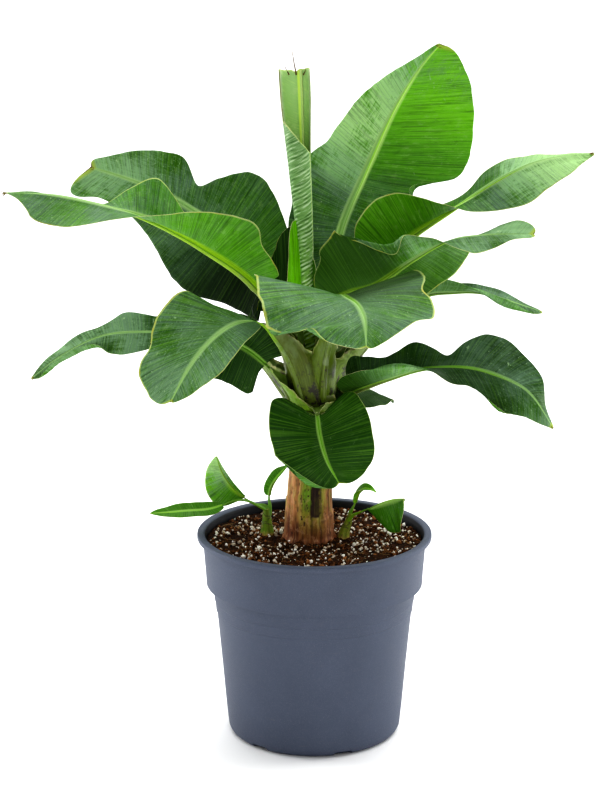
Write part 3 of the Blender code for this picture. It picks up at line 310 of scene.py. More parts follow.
def leaf_blade(name, leaf, look, mats, seed):
    foot, top_r = leaf.get('stalk', STALK)
    small = name.startswith('sucker')
    length = along(np.asarray(leaf['rib']) * MM, [0, 1])[2] * (1 - leaf['start'])
    rows = int(np.clip(length / (0.0011 if small else 0.0022), 50, 180))
    cols = 10 if small else 34 if 'adda' in look or 'addb' in look else 20
    ribs = 3 if small else 5
    t = np.linspace(0, 1, rows)
    t = 0.6 * t + 0.4 * (0.5 - 0.5 * np.cos(np.pi * t))
    p, tan, nor, sid, _ = leaf_frame(leaf, t)
    round_a = np.clip(t / leaf.get('base', 0.18), 0, 1)
    round_b = np.clip((1 - t) / leaf.get('tip', 0.25), 0, 1)
    full = (1 - (1 - round_a) ** 2) ** 0.5 * (1 - (1 - round_b) ** 2) ** 0.5
    settle = np.clip(t / 0.04, 0, 1)
    sweep = np.radians(smooth(leaf.get('sweep', (-25, 0, 15, 25, 35)), t)) * settle
    s_len = t * length
    rib = rib_half(look, t)
    parts, norms, edge, uvx, uvy, mids, tints, bloom_sheens = [], [], [], [], [], [], [], []
    for side, k, q in ((1, 'a', 0), (-1, 'b', 1)):
        floor = np.where(t < 0.5, (top_r + 1.4) * MM, END_W * (1 - t) * 2)
        wide = np.maximum(smooth(leaf['w' + k], t) * MM * full, floor * np.clip((1 - t) / 0.01, 0.02, 1))
        wide = wide * (1 + 0.008 * wander(seed + q, s_len, 0.006) + 0.012 * wander(seed + 7 + q, s_len, 0.021))
        bent = None
        if 'add' + k in look:
            add = np.clip(smooth(look['add' + k], t), 0, None) * MM * full
            at = wide / np.maximum(wide + add, 1e-6)
            wide = wide + add
            bent = (np.radians(smooth(look['roll' + k], t)) * np.clip(add / 0.002, 0, 1), at, np.clip(0.0032 / np.maximum(wide, 1e-6), 0.02, 1))
        r = np.minimum(rib / wide, 0.6)[:, None]
        out = np.linspace(0, 1, cols - ribs + 1)[1:]
        out = (1 - (1 - out) ** 1.15)[None]
        us = np.concatenate([r * np.linspace(0, 1, ribs + 1)[None], r + (1 - r) * out], 1)
        lift = np.radians(smooth(leaf['f' + k], t))
        curl = np.radians(smooth(leaf.get('c' + k, 0), t))
        sw = np.radians(smooth(leaf['s' + k], t)) * settle if 's' + k in leaf else sweep
        g, u = half_strip(side, p, sid, nor, tan, wide, lift, curl, sw, us, bent)
        amp, cyc, ph = look['wave'][q]
        ripple = amp * MM * np.sin(math.tau * (cyc * t + ph)) + 0.8 * MM * wander(seed + 3 + q, s_len, 0.016)
        ripple = ripple * full
        off = ripple[:, None] * us ** 2.2
        ridge = look['ridge'] * MM
        x = us * wide[:, None]
        fan = math.tan(math.radians(look.get('veer', (0, 0))[q]))
        vy = s_len[:, None] / (1 + fan * x / length)
        beat = vy / 0.0068 + 0.35 * wander(seed + 11 + q, vy, 0.02)
        v = np.abs(((beat % 1) - 0.5) * 2)
        height = ridge * (0.55 + 0.45 * wander(seed + 13 + q, vy, 0.009)) * (v ** 1.5 - 0.4)
        prof = np.clip((x - rib[:, None]) / 0.004, 0, 1) * (1 - 0.75 * us ** 3)
        off = off + height * prof
        # the rib is a channel with raised shoulders, and the lamina dips a little beside it
        share = np.clip(x / rib[:, None], 0, 3)
        groove = np.where(share < 1, -0.50 * (1 - share ** 1.6) + 0.16 * share ** 2, 0.16 * np.exp(-(share - 1) * 2.2))
        off = off + groove * np.minimum(rib, 0.0045)[:, None] * np.clip((1 - t) / 0.05, 0, 1)[:, None]
        if not small:
            off = off - 0.8 * MM * np.exp(-((x / MM - 10) / 5) ** 2) * np.clip(wide / 0.02, 0, 1)[:, None]
        # long soft folds that follow the side veins
        fold = look.get('fold', 1.4) * MM * wander(seed + 17 + q, s_len, 0.024) * full
        off = off + fold[:, None] * np.sin(np.pi * np.clip(us, 0, 1)) ** 1.2
        g = g + u * off[..., None]
        parts.append(g)
        norms.append(u)
        edge.append(us)
        uvx.append(side * x)
        uvy.append(vy)
        mids.append(np.clip(1.12 - share, 0, 1) * 8)
        # the strip that folds over is raised to at least tint .5 and full bloom: painted light on the turned strip
        # where it lies in shade, with painted sheen along with its bloom
        strip = np.zeros_like(us) if bent is None else np.clip((us - bent[1][:, None]) / bent[2][:, None], 0, 1)
        tone = smooth(look.get('tint' + k, look['tint']), t)[:, None]
        tints.append(tone + (np.maximum(tone, 0.5) - tone) * strip)
        bloom_and_sheen = smooth(look.get('wax' + k, look.get('wax', (.35,))), t)[:, None]
        bloom_sheens.append(bloom_and_sheen + (np.maximum(bloom_and_sheen, 1) - bloom_and_sheen) * strip)
    pair = lambda z, ax=1: np.concatenate([z[0][:, ::-1], z[1][:, 1:]], 1)
    grid, ups, eg, ux, uy, mid, tint, wax = pair(parts), pair(norms), pair(edge), pair(uvx), pair(uvy), np.clip(pair(mids), 0, 1), pair(tints), pair(bloom_sheens)
    n, m = grid.shape[:2]
    th = (0.30 if not small else 0.25) * MM
    thick = th * (1 - 0.4 * eg)
    top = grid + ups * thick[..., None]
    low = grid - ups * thick[..., None]
    verts = np.concatenate([top.reshape(-1, 3), low.reshape(-1, 3)])
    off = n * m
    f1 = strip_faces(n, m)
    f2 = strip_faces(n, m, off, flip=True)
    f3 = rim_faces(n, m, off)
    which = np.concatenate([np.zeros(len(f1)), np.ones(len(f2)), np.full(len(f3), 2)]).astype(int)
    uv = np.stack([ux, uy], -1).reshape(-1, 2)
    marks = dict(edge=np.tile(eg.ravel(), 2) * look.get('cream', 1), tint=np.tile(tint.ravel(), 2), run=np.tile(np.repeat(t, m), 2),
                 wax=np.tile(wax.ravel(), 2), rib=np.tile(mid.ravel(), 2))
    return build('leaf_' + name, verts, [f1, f2, f3], mats, which, np.tile(uv, (2, 1)), marks)


def rib_rings(p, tan, nor, half, deep, channel):
    """Rings of a rib or stalk: a round keel below and a channel above."""
    sid = np.cross(nor, tan)
    k = 20
    th = np.linspace(0, math.tau, k, endpoint=False)
    x, y = np.cos(th), np.sin(th)
    up = y > 1e-6
    rings = []
    for i in range(len(p)):
        w, h, c = half[i], deep[i], channel[i]
        yy = np.where(up, h * 0.34 * y - c * h * np.clip(1 - np.abs(x) / 0.62, 0, 1) ** 0.8, h * y)
        rings.append(p[i] + w * x[:, None] * sid[i] + yy[:, None] * nor[i])
    return np.stack(rings), th


def transport(p, tan, n_end):
    """Normals carried without twist from the last point back to the first."""
    n = np.zeros_like(p)
    n[-1] = n_end
    for i in range(len(p) - 2, -1, -1):
        v = n[i + 1] - tan[i] * (tan[i] @ n[i + 1])
        n[i] = v / np.linalg.norm(v)
    return n


def stalk_path(name, leaf):
    """Foot extension down the false stem, stalk and midrib, with normals to the upper side."""
    rib = np.asarray(leaf['rib'], float)
    start = leaf['start']
    small = name.startswith('sucker')
    p, tan, whole = along(rib * MM, np.linspace(0, 1, 260))
    cut = int(start * 259)
    face = np.asarray(leaf['face'], float)
    nor = unit(face[None] - (tan @ face)[:, None] * tan)
    back = transport(p[:cut + 1], tan[:cut + 1], nor[cut])
    foot = p[0]
    inward = -np.array([foot[0] + 0.001, foot[1], 0.0])
    if small:
        base = np.array([-0.055, 0.020, 0]) if foot[0] < 0 else np.array([0.040, 0.005, 0])
        inward = -(np.array([foot[0], foot[1], 0]) - base)
    inward = inward - tan[0] * (inward @ tan[0])
    if np.linalg.norm(inward) > 1e-6:
        inward /= np.linalg.norm(inward)
        s0 = np.cross(back[0], tan[0])
        ang = math.atan2(inward @ s0, inward @ back[0])
        q = np.linspace(0, 1, cut + 1)
        a = ang * (1 - q) ** 1.6
        sd = np.cross(back, tan[:cut + 1])
        back = np.cos(a)[:, None] * back + np.sin(a)[:, None] * sd
    nor = np.concatenate([back, nor[cut + 1:]])
    return p, unit(tan), unit(nor), cut, whole


def into_shoot(p, tan, nor):
    """Carries a sucker's stalk on into the shoot it grows from."""
    root = np.array([-0.0556, 0.020, SOIL_Z + 0.014]) if p[0][0] < 0 else np.array([0.0365, 0.005, SOIL_Z + 0.013])
    reach = np.linalg.norm(p[0] - root)
    q = np.linspace(0, 1, 18)[:-1, None]
    bend = p[0] - tan[0] * reach * 0.5
    ext = (1 - q) ** 2 * root + 2 * q * (1 - q) * bend + q ** 2 * p[0]
    full = np.concatenate([ext, p])
    t2 = unit(np.gradient(full, axis=0))
    n2 = np.concatenate([np.repeat(nor[:1], len(ext), 0), nor])
    n2 = unit(n2 - (n2 * t2).sum(1)[:, None] * t2)
    return full, t2, n2


def stalk_piece(name, leaf, look, mats, seed):
    p, tan, nor, cut, whole = stalk_path(name, leaf)
    foot_r, top_r = leaf.get('stalk', STALK)
    small = name.startswith('sucker')
    s = np.linspace(0, 1, len(p))
    u = np.clip(s / leaf['start'], 0, 1)
    v = np.clip((s - leaf['start']) / (1 - leaf['start']), 0, 1)
    rw = look['rw']
    on = s > leaf['start']
    half = np.where(on, rib_half(look, v) / MM * 0.97, foot_r + (rw - foot_r) * u ** 0.9) * MM
    deep = np.where(on, rw * 0.95 * (1 - v) ** 1.05 + 0.3, foot_r + (rw * 0.95 - foot_r) * u ** 0.9) * MM
    chan = np.where(on, 0.75, 0.15 + 0.5 * u)
    sink = np.where(on, 0.20 * half * np.clip(v * 40, 0, 1) + 0.0006 * np.clip(v * 40, 0, 1), 0)
    if small:
        base, tan, nor = into_shoot(p, tan, nor)
        extra = len(base) - len(p)
        grow = lambda z, lo: np.concatenate([np.linspace(lo, z[0], extra), z])
        p, s = base, grow(s, 0)
        half, deep = grow(half, half[0] * 1.25), grow(deep, deep[0] * 1.25)
        chan, sink = grow(chan, chan[0]), grow(sink, 0)
    rings, th = rib_rings(p - nor * sink[:, None], tan, nor, half, deep, chan)
    n, m = rings.shape[:2]
    verts = rings.reshape(-1, 3)
    f1 = strip_faces(n, m, wrap=True, flip=True)
    caps = [np.arange(m)[::-1][None], ((n - 1) * m + np.arange(m))[None]]
    up = np.tile((np.sin(th) > -0.1), n).astype(float)
    uvx = np.tile(th / math.tau, n) * 0.02
    uvy = np.repeat(s * whole, m)
    quads = f1
    mid = np.sin(th + math.pi / m)
    which = np.tile(np.where(mid > 0.05, 0, 1), n - 1)
    which = np.concatenate([which, [1, 1]])
    faces = [quads, caps[0], caps[1]]
    uv = np.stack([uvx, uvy], -1)
    marks = dict(up=up, run=np.repeat(.5 + .5 * s if small else s, m), young=np.full(n * m, look.get('keel', smooth(look['tint'], np.array([0.3]))[0])),
                 side=np.tile(np.cos(th), n))
    return build('stalk_' + name + '_detail', verts, faces, mats, which, uv, marks)


# ---- clasping leaf bases --------------------------------------------------------
AXIS = np.array([-0.001, 0.0])


def sheath_piece(name, leaf, look, mats, seed):
    """The clasping base of a leaf: a curved strip that runs up the false stem and closes into the stalk."""
    sh = look.get('sheath', {})
    p, tan, nor, cut, whole = stalk_path(name, leaf)
    reach = sh.get('reach', 0.92)
    p, tan, nor = p[:int(cut * reach) + 1], tan[:int(cut * reach) + 1], nor[:int(cut * reach) + 1]
    foot = p[0]
    rad = foot[:2] - AXIS
    rf = np.linalg.norm(rad)
    rad /= max(rf, 1e-6)
    drop = sh.get('drop', max(0.018, foot[2] - 0.364))
    # the foot runs on down the stem
    k = 30
    d = np.linspace(drop, 0.0012, k)
    rr = rf + (sh.get('foot_r', 0.0226) - rf) * (d / drop) ** 1.1
    ext = np.stack([AXIS[0] + rad[0] * rr, AXIS[1] + rad[1] * rr, foot[2] - d], -1)
    p = np.concatenate([ext, p])
    c, s = fair(p[::5], 300)
    tot = s[-1]
    rows = int(np.clip(tot / 0.0015, 40, 130))
    q = np.linspace(0, tot, rows)
    pp = np.stack([np.interp(q, s, c[:, j]) for j in range(3)], -1)
    tt = unit(np.gradient(pp, axis=0))
    src = np.concatenate([np.repeat(nor[:1], k, 0), nor])
    ss = np.concatenate([[0], np.cumsum(np.linalg.norm(np.diff(p, axis=0), axis=1))])
    nn = np.stack([np.interp(q / tot * ss[-1], ss, src[:, j]) for j in range(3)], -1)
    nn = unit(nn - (nn * tt).sum(1)[:, None] * tt)
    sid = np.cross(nn, tt)
    t = q / tot
    f = drop / tot
    x = np.clip((t - f) / (1 - f), 0, 1)
    low = np.clip(t / f, 0, 1)
    r_in = np.interp(low, [0, 1], [sh.get('foot_r', 0.0226), max(rf, 0.011)])
    ring = r_in + (sh.get('end_r', 0.0065) - r_in) * x ** 0.7
    spread = np.radians(sh.get('spread', 86))
    keep = (1 - x ** sh.get('hold', 0.9)) ** sh.get('fall', 1.2)
    wide = spread * r_in * keep + (look['rw'] * 1.1 + 0.9) * MM
    us = np.linspace(0, 1, 19)
    parts, norms = [], []
    for side, qq in ((1, 0), (-1, 1)):
        w = wide * (1 + 0.06 * wander(seed + qq, q, 0.010) + 0.04 * wander(seed + 5 + qq, q, 0.003)) * sh.get('skew', (1, 1))[qq]
        curl = np.minimum(w / ring, np.radians(sh.get('wrap', 118))) * (1 - sh.get('open', 0.0) * x)
        g, u = half_strip(side, pp, sid, nn, tt, w, np.zeros(rows), curl, np.zeros(rows), us)
        rip = (1.7 * wander(seed + 21 + qq, q, 0.008) + 0.8 * wander(seed + 31 + qq, q, 0.0035)) * MM * sh.get('ruffle', 1.0)
        g = g + u * (rip[:, None] * us[None] ** 4 * np.clip(t * 3 - 0.3, 0, 1)[:, None])[..., None]
        parts.append(g)
        norms.append(u)
    grid = np.concatenate([parts[0][:, ::-1], parts[1][:, 1:]], 1)
    ups = np.concatenate([norms[0][:, ::-1], norms[1][:, 1:]], 1)
    eg = np.abs(np.concatenate([-us[::-1], us[1:]]))
    n, m = grid.shape[:2]
    thick = (0.35 + 1.5 * (1 - eg) ** 1.5)[None] * MM * (1 - 0.3 * t)[:, None]
    fibre = 0.12 * MM * np.sin(np.arange(m) * 2.4)[None]
    top = grid + ups * (thick * 0.5)[..., None]
    low = grid - ups * (thick * 0.5 + fibre)[..., None]
    off = n * m
    f1 = strip_faces(n, m)
    f2 = strip_faces(n, m, off, flip=True)
    f3 = rim_faces(n, m, off)
    which = np.concatenate([np.zeros(len(f1)), np.ones(len(f2)), np.full(len(f3), 2)]).astype(int)
    xs = (np.concatenate([-us[::-1], us[1:]])[None] * wide[:, None])
    uv = np.stack([xs, np.broadcast_to(q[:, None], xs.shape)], -1).reshape(-1, 2)
    marks = dict(edge=np.tile(np.broadcast_to(eg, (n, m)).ravel(), 2), run=np.tile(np.repeat(t, m), 2),
                 tone=np.full(2 * n * m, sh.get('tone', 0.5)))
    return build('sheath_' + name, np.concatenate([top.reshape(-1, 3), low.reshape(-1, 3)]), [f1, f2, f3], mats,
                 which, np.tile(uv, (2, 1)), marks)


# ---- false stem -----------------------------------------------------------------
STEM_RINGS = (
    (0.0000, -0.0060, 0.0290), (0.0080, -0.0060, 0.0272), (0.0300, -0.0062, 0.0262),
    (0.0600, -0.0055, 0.0250), (0.1000, -0.0035, 0.0240), (0.1390, -0.0010, 0.0230),
    (0.1440, -0.0010, 0.0228),
)


def soft_step(x, a, b):
    u = np.clip((x - a) / (b - a), 0, 1)
    return u * u * (3 - 2 * u)


def grain(seed, x, y, px, py):
    """Seeded smooth noise of two variables, periodic in x over 2 pi when px divides it."""
    rng = np.random.default_rng(seed)
    nx = max(int(round(math.tau / px)), 1)
    yy = (np.asarray(y, float) - np.min(y)) / py
    ny = int(np.ceil(yy.max())) + 2
    v = rng.uniform(-1, 1, (nx, ny))
    xx = (np.asarray(x, float) % math.tau) / math.tau * nx
    i = np.floor(xx).astype(int) % nx
    j = np.floor(yy).astype(int)
    f = xx - np.floor(xx)
    g = yy - j
    f = f * f * (3 - 2 * f)
    g = g * g * (3 - 2 * g)
    i2, j2 = (i + 1) % nx, j + 1
    return (v[i, j] * (1 - f) + v[i2, j] * f) * (1 - g) + (v[i, j2] * (1 - f) + v[i2, j2] * f) * g


def turn(a, b):
    """Signed turn from angle b to angle a, in degrees, -180..180."""
    return (a - b + 180) % 360 - 180


def false_stem(mats):
    nz, na = 150, 168
    h = np.linspace(-0.004, 0.1440, nz)
    hr, xr, rr = (np.array([r[k] for r in STEM_RINGS]) for k in range(3))
    x0 = np.interp(h, hr, xr)
    r0 = np.interp(h, hr, rr)
    phi = np.linspace(0, 360, na, endpoint=False)
    A, H = np.meshgrid(phi, h)
    rad = np.radians(A)
    R = np.repeat(r0[:, None], na, 1)
    # overlapping leaf bases: each ends at a free edge, with the next one under it
    edges = [(-84, 6, .9), (-62, -4, -.8), (-30, 10, .7), (25, -12, .9), (95, 14, .8), (150, -8, .7), (205, 10, .8)]
    seam = np.zeros_like(R)
    for k, (a, lean, step) in enumerate(edges):
        line = a + lean * (H / 0.14 - 0.4) + 4 * wander(40 + k, H[:, 0], 0.016)[:, None]
        d = turn(A, line)
        R = R + step * MM * (soft_step(d, -2.0, 2.0) - soft_step(d, 2.0, 60.0))
        seam = np.maximum(seam, np.exp(-(d / 2.6) ** 2))
    dA = turn(A, -73)
    # the torn dark strip at the front, with a ragged outline
    rag = 5 * grain(3, rad, H, .2, .006) + 3 * grain(4, rad, H, .1, .003)
    strip = soft_step(11.5 - np.abs(dA + 1.5 + rag * .5), -1.5, 1.5) * soft_step(H + 0.0006 * rag, 0.030, 0.034)
    inner = soft_step(6.0 - np.abs(dA - 3 + rag * .4), -2, 2) * soft_step(H, .034, .037) * (1 - soft_step(H, .052, .060))
    R = R - strip * 1.8 * MM * (1 - .25 * inner)
    # old base cut off low at the right
    cutline = 0.033 + 0.004 * np.cos(rad * 3) + 0.0015 * grain(5, rad, H, .12, .01)
    right = soft_step(turn(A, -58), -3, 3) * (1 - soft_step(turn(A, 35), -20, 20))
    R = R + right * (1.3 * MM) * (1 - soft_step(H, cutline - .001, cutline + .001))
    left = soft_step(turn(A, 150), -8, 8) * (1 - soft_step(turn(A, 232), -6, 6))
    R = R + left * (1.2 * MM) * (1 - soft_step(H, .052 + .006 * np.sin(rad * 2) - .001, .052 + .006 * np.sin(rad * 2) + .0012))
    # fibres, shallow dents and the flare at the foot
    R = R + 0.22 * MM * grain(6, rad, H, .052, .03) + 0.5 * MM * grain(7, rad, H, .45, .035)
    R = R + 2.2 * MM * grain(8, rad, H, .22, .008) * (1 - soft_step(H, .0, .016))
    R = R + 5.0 * MM * np.exp(-(turn(A, -128) / 9) ** 2) * (1 - soft_step(H, .0, .012))
    X = x0[:, None] + R * np.cos(rad)
    Y = R * np.sin(rad)
    Z = SOIL_Z + 0.0003 + H
    low = soft_step(H, .0, .055)
    olive = soft_step(34 - np.abs(turn(A, -84)), -14, 14) * low
    olive = np.maximum(olive, .75 * soft_step(22 - np.abs(turn(A, 60)), -14, 14) * low)
    olive = np.maximum(olive, .6 * soft_step(20 - np.abs(turn(A, 170)), -12, 12) * low)
    olive = np.clip(olive + .35 * grain(9, rad, H, .16, .010) * low, 0, 1)
    green = np.clip(soft_step(13 - np.abs(turn(A, -94)), -9, 9) * soft_step(H, .03, .055) + .4 * grain(10, rad, H, .09, .006) - .05, 0, 1)
    green = green * soft_step(H, .02, .05)
    dark = np.maximum(strip * (1 - .12 * inner), .55 * seam * soft_step(H, .0, .02))
    spots = soft_step(grain(11, rad, H, .05, .0035), .62, .78) * soft_step(36 - np.abs(turn(A, -92)), -10, 10) * soft_step(H, .012, .03)
    dark = np.clip(np.maximum(dark, spots), 0, 1)
    red = np.clip(1 - soft_step(H, .01, .05) + .35 * grain(12, rad, H, .2, .012), 0, 1)
    red = np.maximum(red, right * (.6 + .3 * grain(13, rad, H, .1, .02)))
    verts = np.stack([X, Y, Z], -1).reshape(-1, 3)
    n, m = nz, na
    f1 = strip_faces(n, m, wrap=True)
    caps = [np.arange(m)[::-1][None], ((n - 1) * m + np.arange(m))[None]]
    uv = np.stack([rad * 0.025, H], -1).reshape(-1, 2)
    marks = dict(olive=olive.ravel(), green=green.ravel(), dark=dark.ravel(), red=red.ravel())
    return build('false_stem_detail', verts, [f1, caps[0], caps[1]], mats, np.zeros(len(f1) + 2), uv, marks)


CROWN_RINGS = (
    (.1444, -.001, .0222), (.154, -.001, .0212), (.176, -.0012, .0175), (.2, -.0022, .0125), (.219, -.0035, .0096), (.225, -.0035, .009),
)


def crown_body(mats):
    """The heart of the plant: leaf bases squeezed against each other, narrowing upward."""
    nz, na = 90, 132
    h = np.linspace(.1440, .2262, nz)
    hr, xr, rr = (np.array([c[k] for c in CROWN_RINGS]) for k in range(3))
    rad = np.linspace(0, math.tau, na, endpoint=False)
    A, H = np.meshgrid(rad, h)
    R = np.repeat(np.interp(h, hr, rr)[:, None], na, 1)
    twist = A + 6.0 * (H - .144)
    lobes = np.abs(((twist / math.tau * 7 + .5 * grain(51, A, H, .6, .03)) % 1) - .5) * 2
    R = R + (1.5 * (1 - lobes ** 3) - 1.3) * MM * np.clip(R / .018, .3, 1)
    R = R + .30 * MM * grain(52, A, H, .10, .03) + .45 * MM * grain(53, A, H, .4, .012)
    X = np.interp(h, hr, xr)[:, None] + R * np.cos(A)
    pts = np.stack([X, R * np.sin(A), SOIL_Z + 0.0003 + H], -1)
    f1 = strip_faces(nz, na, wrap=True)
    caps = [np.arange(na)[::-1][None], ((nz - 1) * na + np.arange(na))[None]]
    uv = np.stack([A * .02, H], -1).reshape(-1, 2)
    green = np.clip(.65 + .35 * soft_step(H, .16, .20) + .3 * grain(54, A, H, .3, .02), 0, 1)
    seam = soft_step(lobes, .86, .98)
    marks = dict(olive=np.full(R.size, .8), green=green.ravel(), dark=(seam * .75).ravel(), red=np.zeros(R.size))
    return build('crown_detail', pts.reshape(-1, 3), [f1, caps[0], caps[1]], mats, np.zeros(len(f1) + 2), uv, marks)


def shoot(name, points, radii, mats, seed, young):
    """Short stem of a sucker: two or three wrapped sheaths, tan at the foot and green above."""
    p, s = fair(np.asarray(points, float) * MM + np.array([0, 0, SOIL_Z]), 60)
    key = np.linspace(0, 1, len(radii))
    share = s / s[-1]
    r = np.interp(share, key, radii) * MM
    tan = unit(np.gradient(p, axis=0))
    nor = transport(p, tan, unit(np.array([0.1, -1, 0]) - tan[-1] * (np.array([0.1, -1, 0]) @ tan[-1])))
    sid = np.cross(nor, tan)
    na = 48
    a = np.linspace(0, math.tau, na, endpoint=False)
    A, S = np.meshgrid(a, share)
    R = np.repeat(r[:, None], na, 1)
    dark = np.zeros_like(R)
    for q, (turn_at, top) in enumerate(((1.2, .42), (3.6, .66), (5.2, .86))):
        rim = top + .10 * np.cos(A - turn_at) + .03 * grain(seed + q, A, S, .4, .2)
        R = R - .55 * MM * soft_step(S, rim - .015, rim + .015)
        dark = np.maximum(dark, np.exp(-((S - rim) / .02) ** 2))
    R = R + .10 * MM * grain(seed + 5, A, S, .17, .3) + .4 * MM
    pts = p[:, None] + R[..., None] * (np.cos(A)[..., None] * sid[:, None] + np.sin(A)[..., None] * nor[:, None])
    n = len(p)
    f1 = strip_faces(n, na, wrap=True, flip=True)
    caps = [np.arange(na)[::-1][None], ((n - 1) * na + np.arange(na))[None]]
    uv = np.stack([A * .006, S * s[-1]], -1).reshape(-1, 2)
    green = np.clip(soft_step(S, -.05, .30) * young + .15 * grain(seed + 7, A, S, .3, .2), 0, 1)
    marks = dict(olive=(soft_step(S, .05, .4) * .8).ravel(), green=green.ravel(), dark=(.7 * dark).ravel(), red=(1 - soft_step(S, .0, .12)).ravel())
    return build(name + '_detail', pts.reshape(-1, 3), [f1, caps[0], caps[1]], mats, np.zeros(len(f1) + 2), uv, marks)


# ---- rolled leaf -------------------------------------------------------------------
CIGAR = (
    (0.2254, -0.0035, 0.000, 0.0072), (0.2310, -0.0038, 0.000, 0.0072), (0.2750, -0.0088, 0.000, 0.0070),
    (0.3270, -0.0096, 0.001, 0.0079), (0.3490, -0.0107, 0.001, 0.0090), (0.3940, -0.0139, 0.002, 0.0110),
    (0.4390, -0.0172, 0.004, 0.0128), (0.4620, -0.0189, 0.005, 0.0140), (0.4840, -0.0203, 0.006, 0.0156),
    (0.5070, -0.0214, 0.007, 0.0167), (0.5380, -0.0230, 0.009, 0.0168),
)


def rolled_leaf(mats):
    """A leaf rolled into a tall tube: a spiral sheet whose front wall ends at a slant, with the inside of the back wall above it."""
    rows, cols = 300, 104
    h0, back_top = 0.205, 0.5385
    t = np.linspace(0, 1, rows)
    u = np.linspace(0, 1, cols)
    a0, turns = math.radians(-20), 1.78 * math.tau
    ang = (a0 - turns * u)[None] + 0 * t[:, None]
    crest = 2.6 * np.sin(ang * 2.0 + 1.0) + 1.6 * grain(63, ang, t[:, None] + 0 * ang, .3, .5)
    front_top = .4660 - .0180 * np.cos(ang) + .0006 * grain(64, ang, t[:, None] + 0 * ang, .15, .5)
    top = front_top + (back_top + crest * MM - front_top) * soft_step(np.sin(ang), -.16, .10)
    # the outermost layer at the right ends low, so that the mouth opens
    key = [c[0] for c in CIGAR]
    h = h0 + (top - h0) * t[:, None]
    cx, cy, cr = (np.interp(h, key, [c[k] for c in CIGAR]) for k in (1, 2, 3))
    lap = 1 - 0.13 * np.clip(u[None] - 0.30, 0, 1)
    arc = turns * u[None] * cr
    slant = h + .50 * arc
    # slanting wrinkles pressed in while it was rolled
    s = slant / 0.0047
    w = np.sin(math.tau * (s + .16 * grain(61, ang, h, .8, .012)))
    fine = grain(62, ang, h, .12, .004)
    amp = np.interp(h, [.23, .27, .40, .445, .475, .54], [.30, .62, .62, .45, .10, .03])
    amp = amp * np.clip(.62 + .75 * grain(65, ang, slant, .42, .0052), .06, 1.15)
    r = cr * lap + (amp * .42 * w + amp * .25 * fine) * MM
    lean = (h - front_top) / .08
    r = r * (1 + .05 * np.clip(lean, 0, 1))
    # the midrib stands out on the inside of the back wall
    away = np.degrees((ang - math.radians(74) + math.pi) % math.tau - math.pi)
    rib = np.exp(-(away / 6.5) ** 2)
    r = r - 1.0 * MM * rib
    X = cx + r * np.cos(ang)
    Y = cy + r * np.sin(ang)
    pts = np.stack([X, Y, SOIL_Z + h], -1)
    nor = unit(np.cross(np.gradient(pts, axis=1), np.gradient(pts, axis=0)))
    outer = pts + nor * 0.00022
    inner = pts - nor * 0.00022
    n, m = rows, cols
    cen = np.stack([cx, cy, SOIL_Z + h], -1)
    if ((outer - cen)[..., :2] ** 2).sum() < ((inner - cen)[..., :2] ** 2).sum():
        outer, inner = inner, outer
    f1 = strip_faces(n, m, flip=True)
    f2 = strip_faces(n, m, n * m)
    f3 = rim_faces(n, m, n * m)[:, ::-1]
    which = np.concatenate([np.zeros(len(f1)), np.ones(len(f2)), np.full(len(f3), 2)]).astype(int)
    uv = np.stack([arc, slant], -1).reshape(-1, 2)
    edge = np.maximum(np.clip(1 - np.minimum(u, 1 - u) * 60, 0, 1)[None] + 0 * h, soft_step(top - h, .0016, .0004))
    # crease carries the wrinkle wave for painted highlight on the crests and painted shade in the valleys
    marks = dict(edge=np.tile(edge.ravel(), 2), run=np.tile(((h - h0) / (back_top - h0)).ravel(), 2), crease=np.tile((w * np.clip(amp / .6, 0, 1) * .5 + .5).ravel(), 2), side=np.tile(soft_step(np.abs(turn(np.degrees(ang), 90)), 52, 84).ravel(), 2),
                 mid=np.tile(rib.ravel(), 2))
    return build('rolled_leaf_detail', np.concatenate([outer.reshape(-1, 3), inner.reshape(-1, 3)]), [f1, f2, f3], mats,
                 which, np.tile(uv, (2, 1)), marks)


def tube(points, radii, sides=6):
    """Verts and faces of a closed tube along points."""
    p = np.asarray(points, float)
    r = np.asarray(radii, float)
    tan = unit(np.gradient(p, axis=0))
    ref = np.array([0.3, 0.2, 0.93])
    n0 = ref - tan[-1] * (ref @ tan[-1])
    nor = transport(p, tan, n0 / np.linalg.norm(n0))
    sid = np.cross(nor, tan)
    a = np.linspace(0, math.tau, sides, endpoint=False)
    v = p[:, None] + r[:, None, None] * (np.cos(a)[None, :, None] * sid[:, None] + np.sin(a)[None, :, None] * nor[:, None])
    n = len(p)
    f = strip_faces(n, sides, wrap=True, flip=True)
    caps = np.array([np.arange(sides)[::-1], (n - 1) * sides + np.arange(sides)])
    return v.reshape(-1, 3), f, caps


def join_tubes(name, lines, mats, sides=6):
    """Many small tubes as one mesh; each line is (points, radii)."""
    vs, fs, cs, off = [], [], [], 0
    for pts, rad in lines:
        v, f, c = tube(pts, rad, sides)
        vs.append(v)
        fs.append(f + off)
        cs.append(c + off)
        off += len(v)
    f, c = np.concatenate(fs), np.concatenate(cs)
    return build(name, np.concatenate(vs), [f, c], mats, np.zeros(len(f) + len(c)))


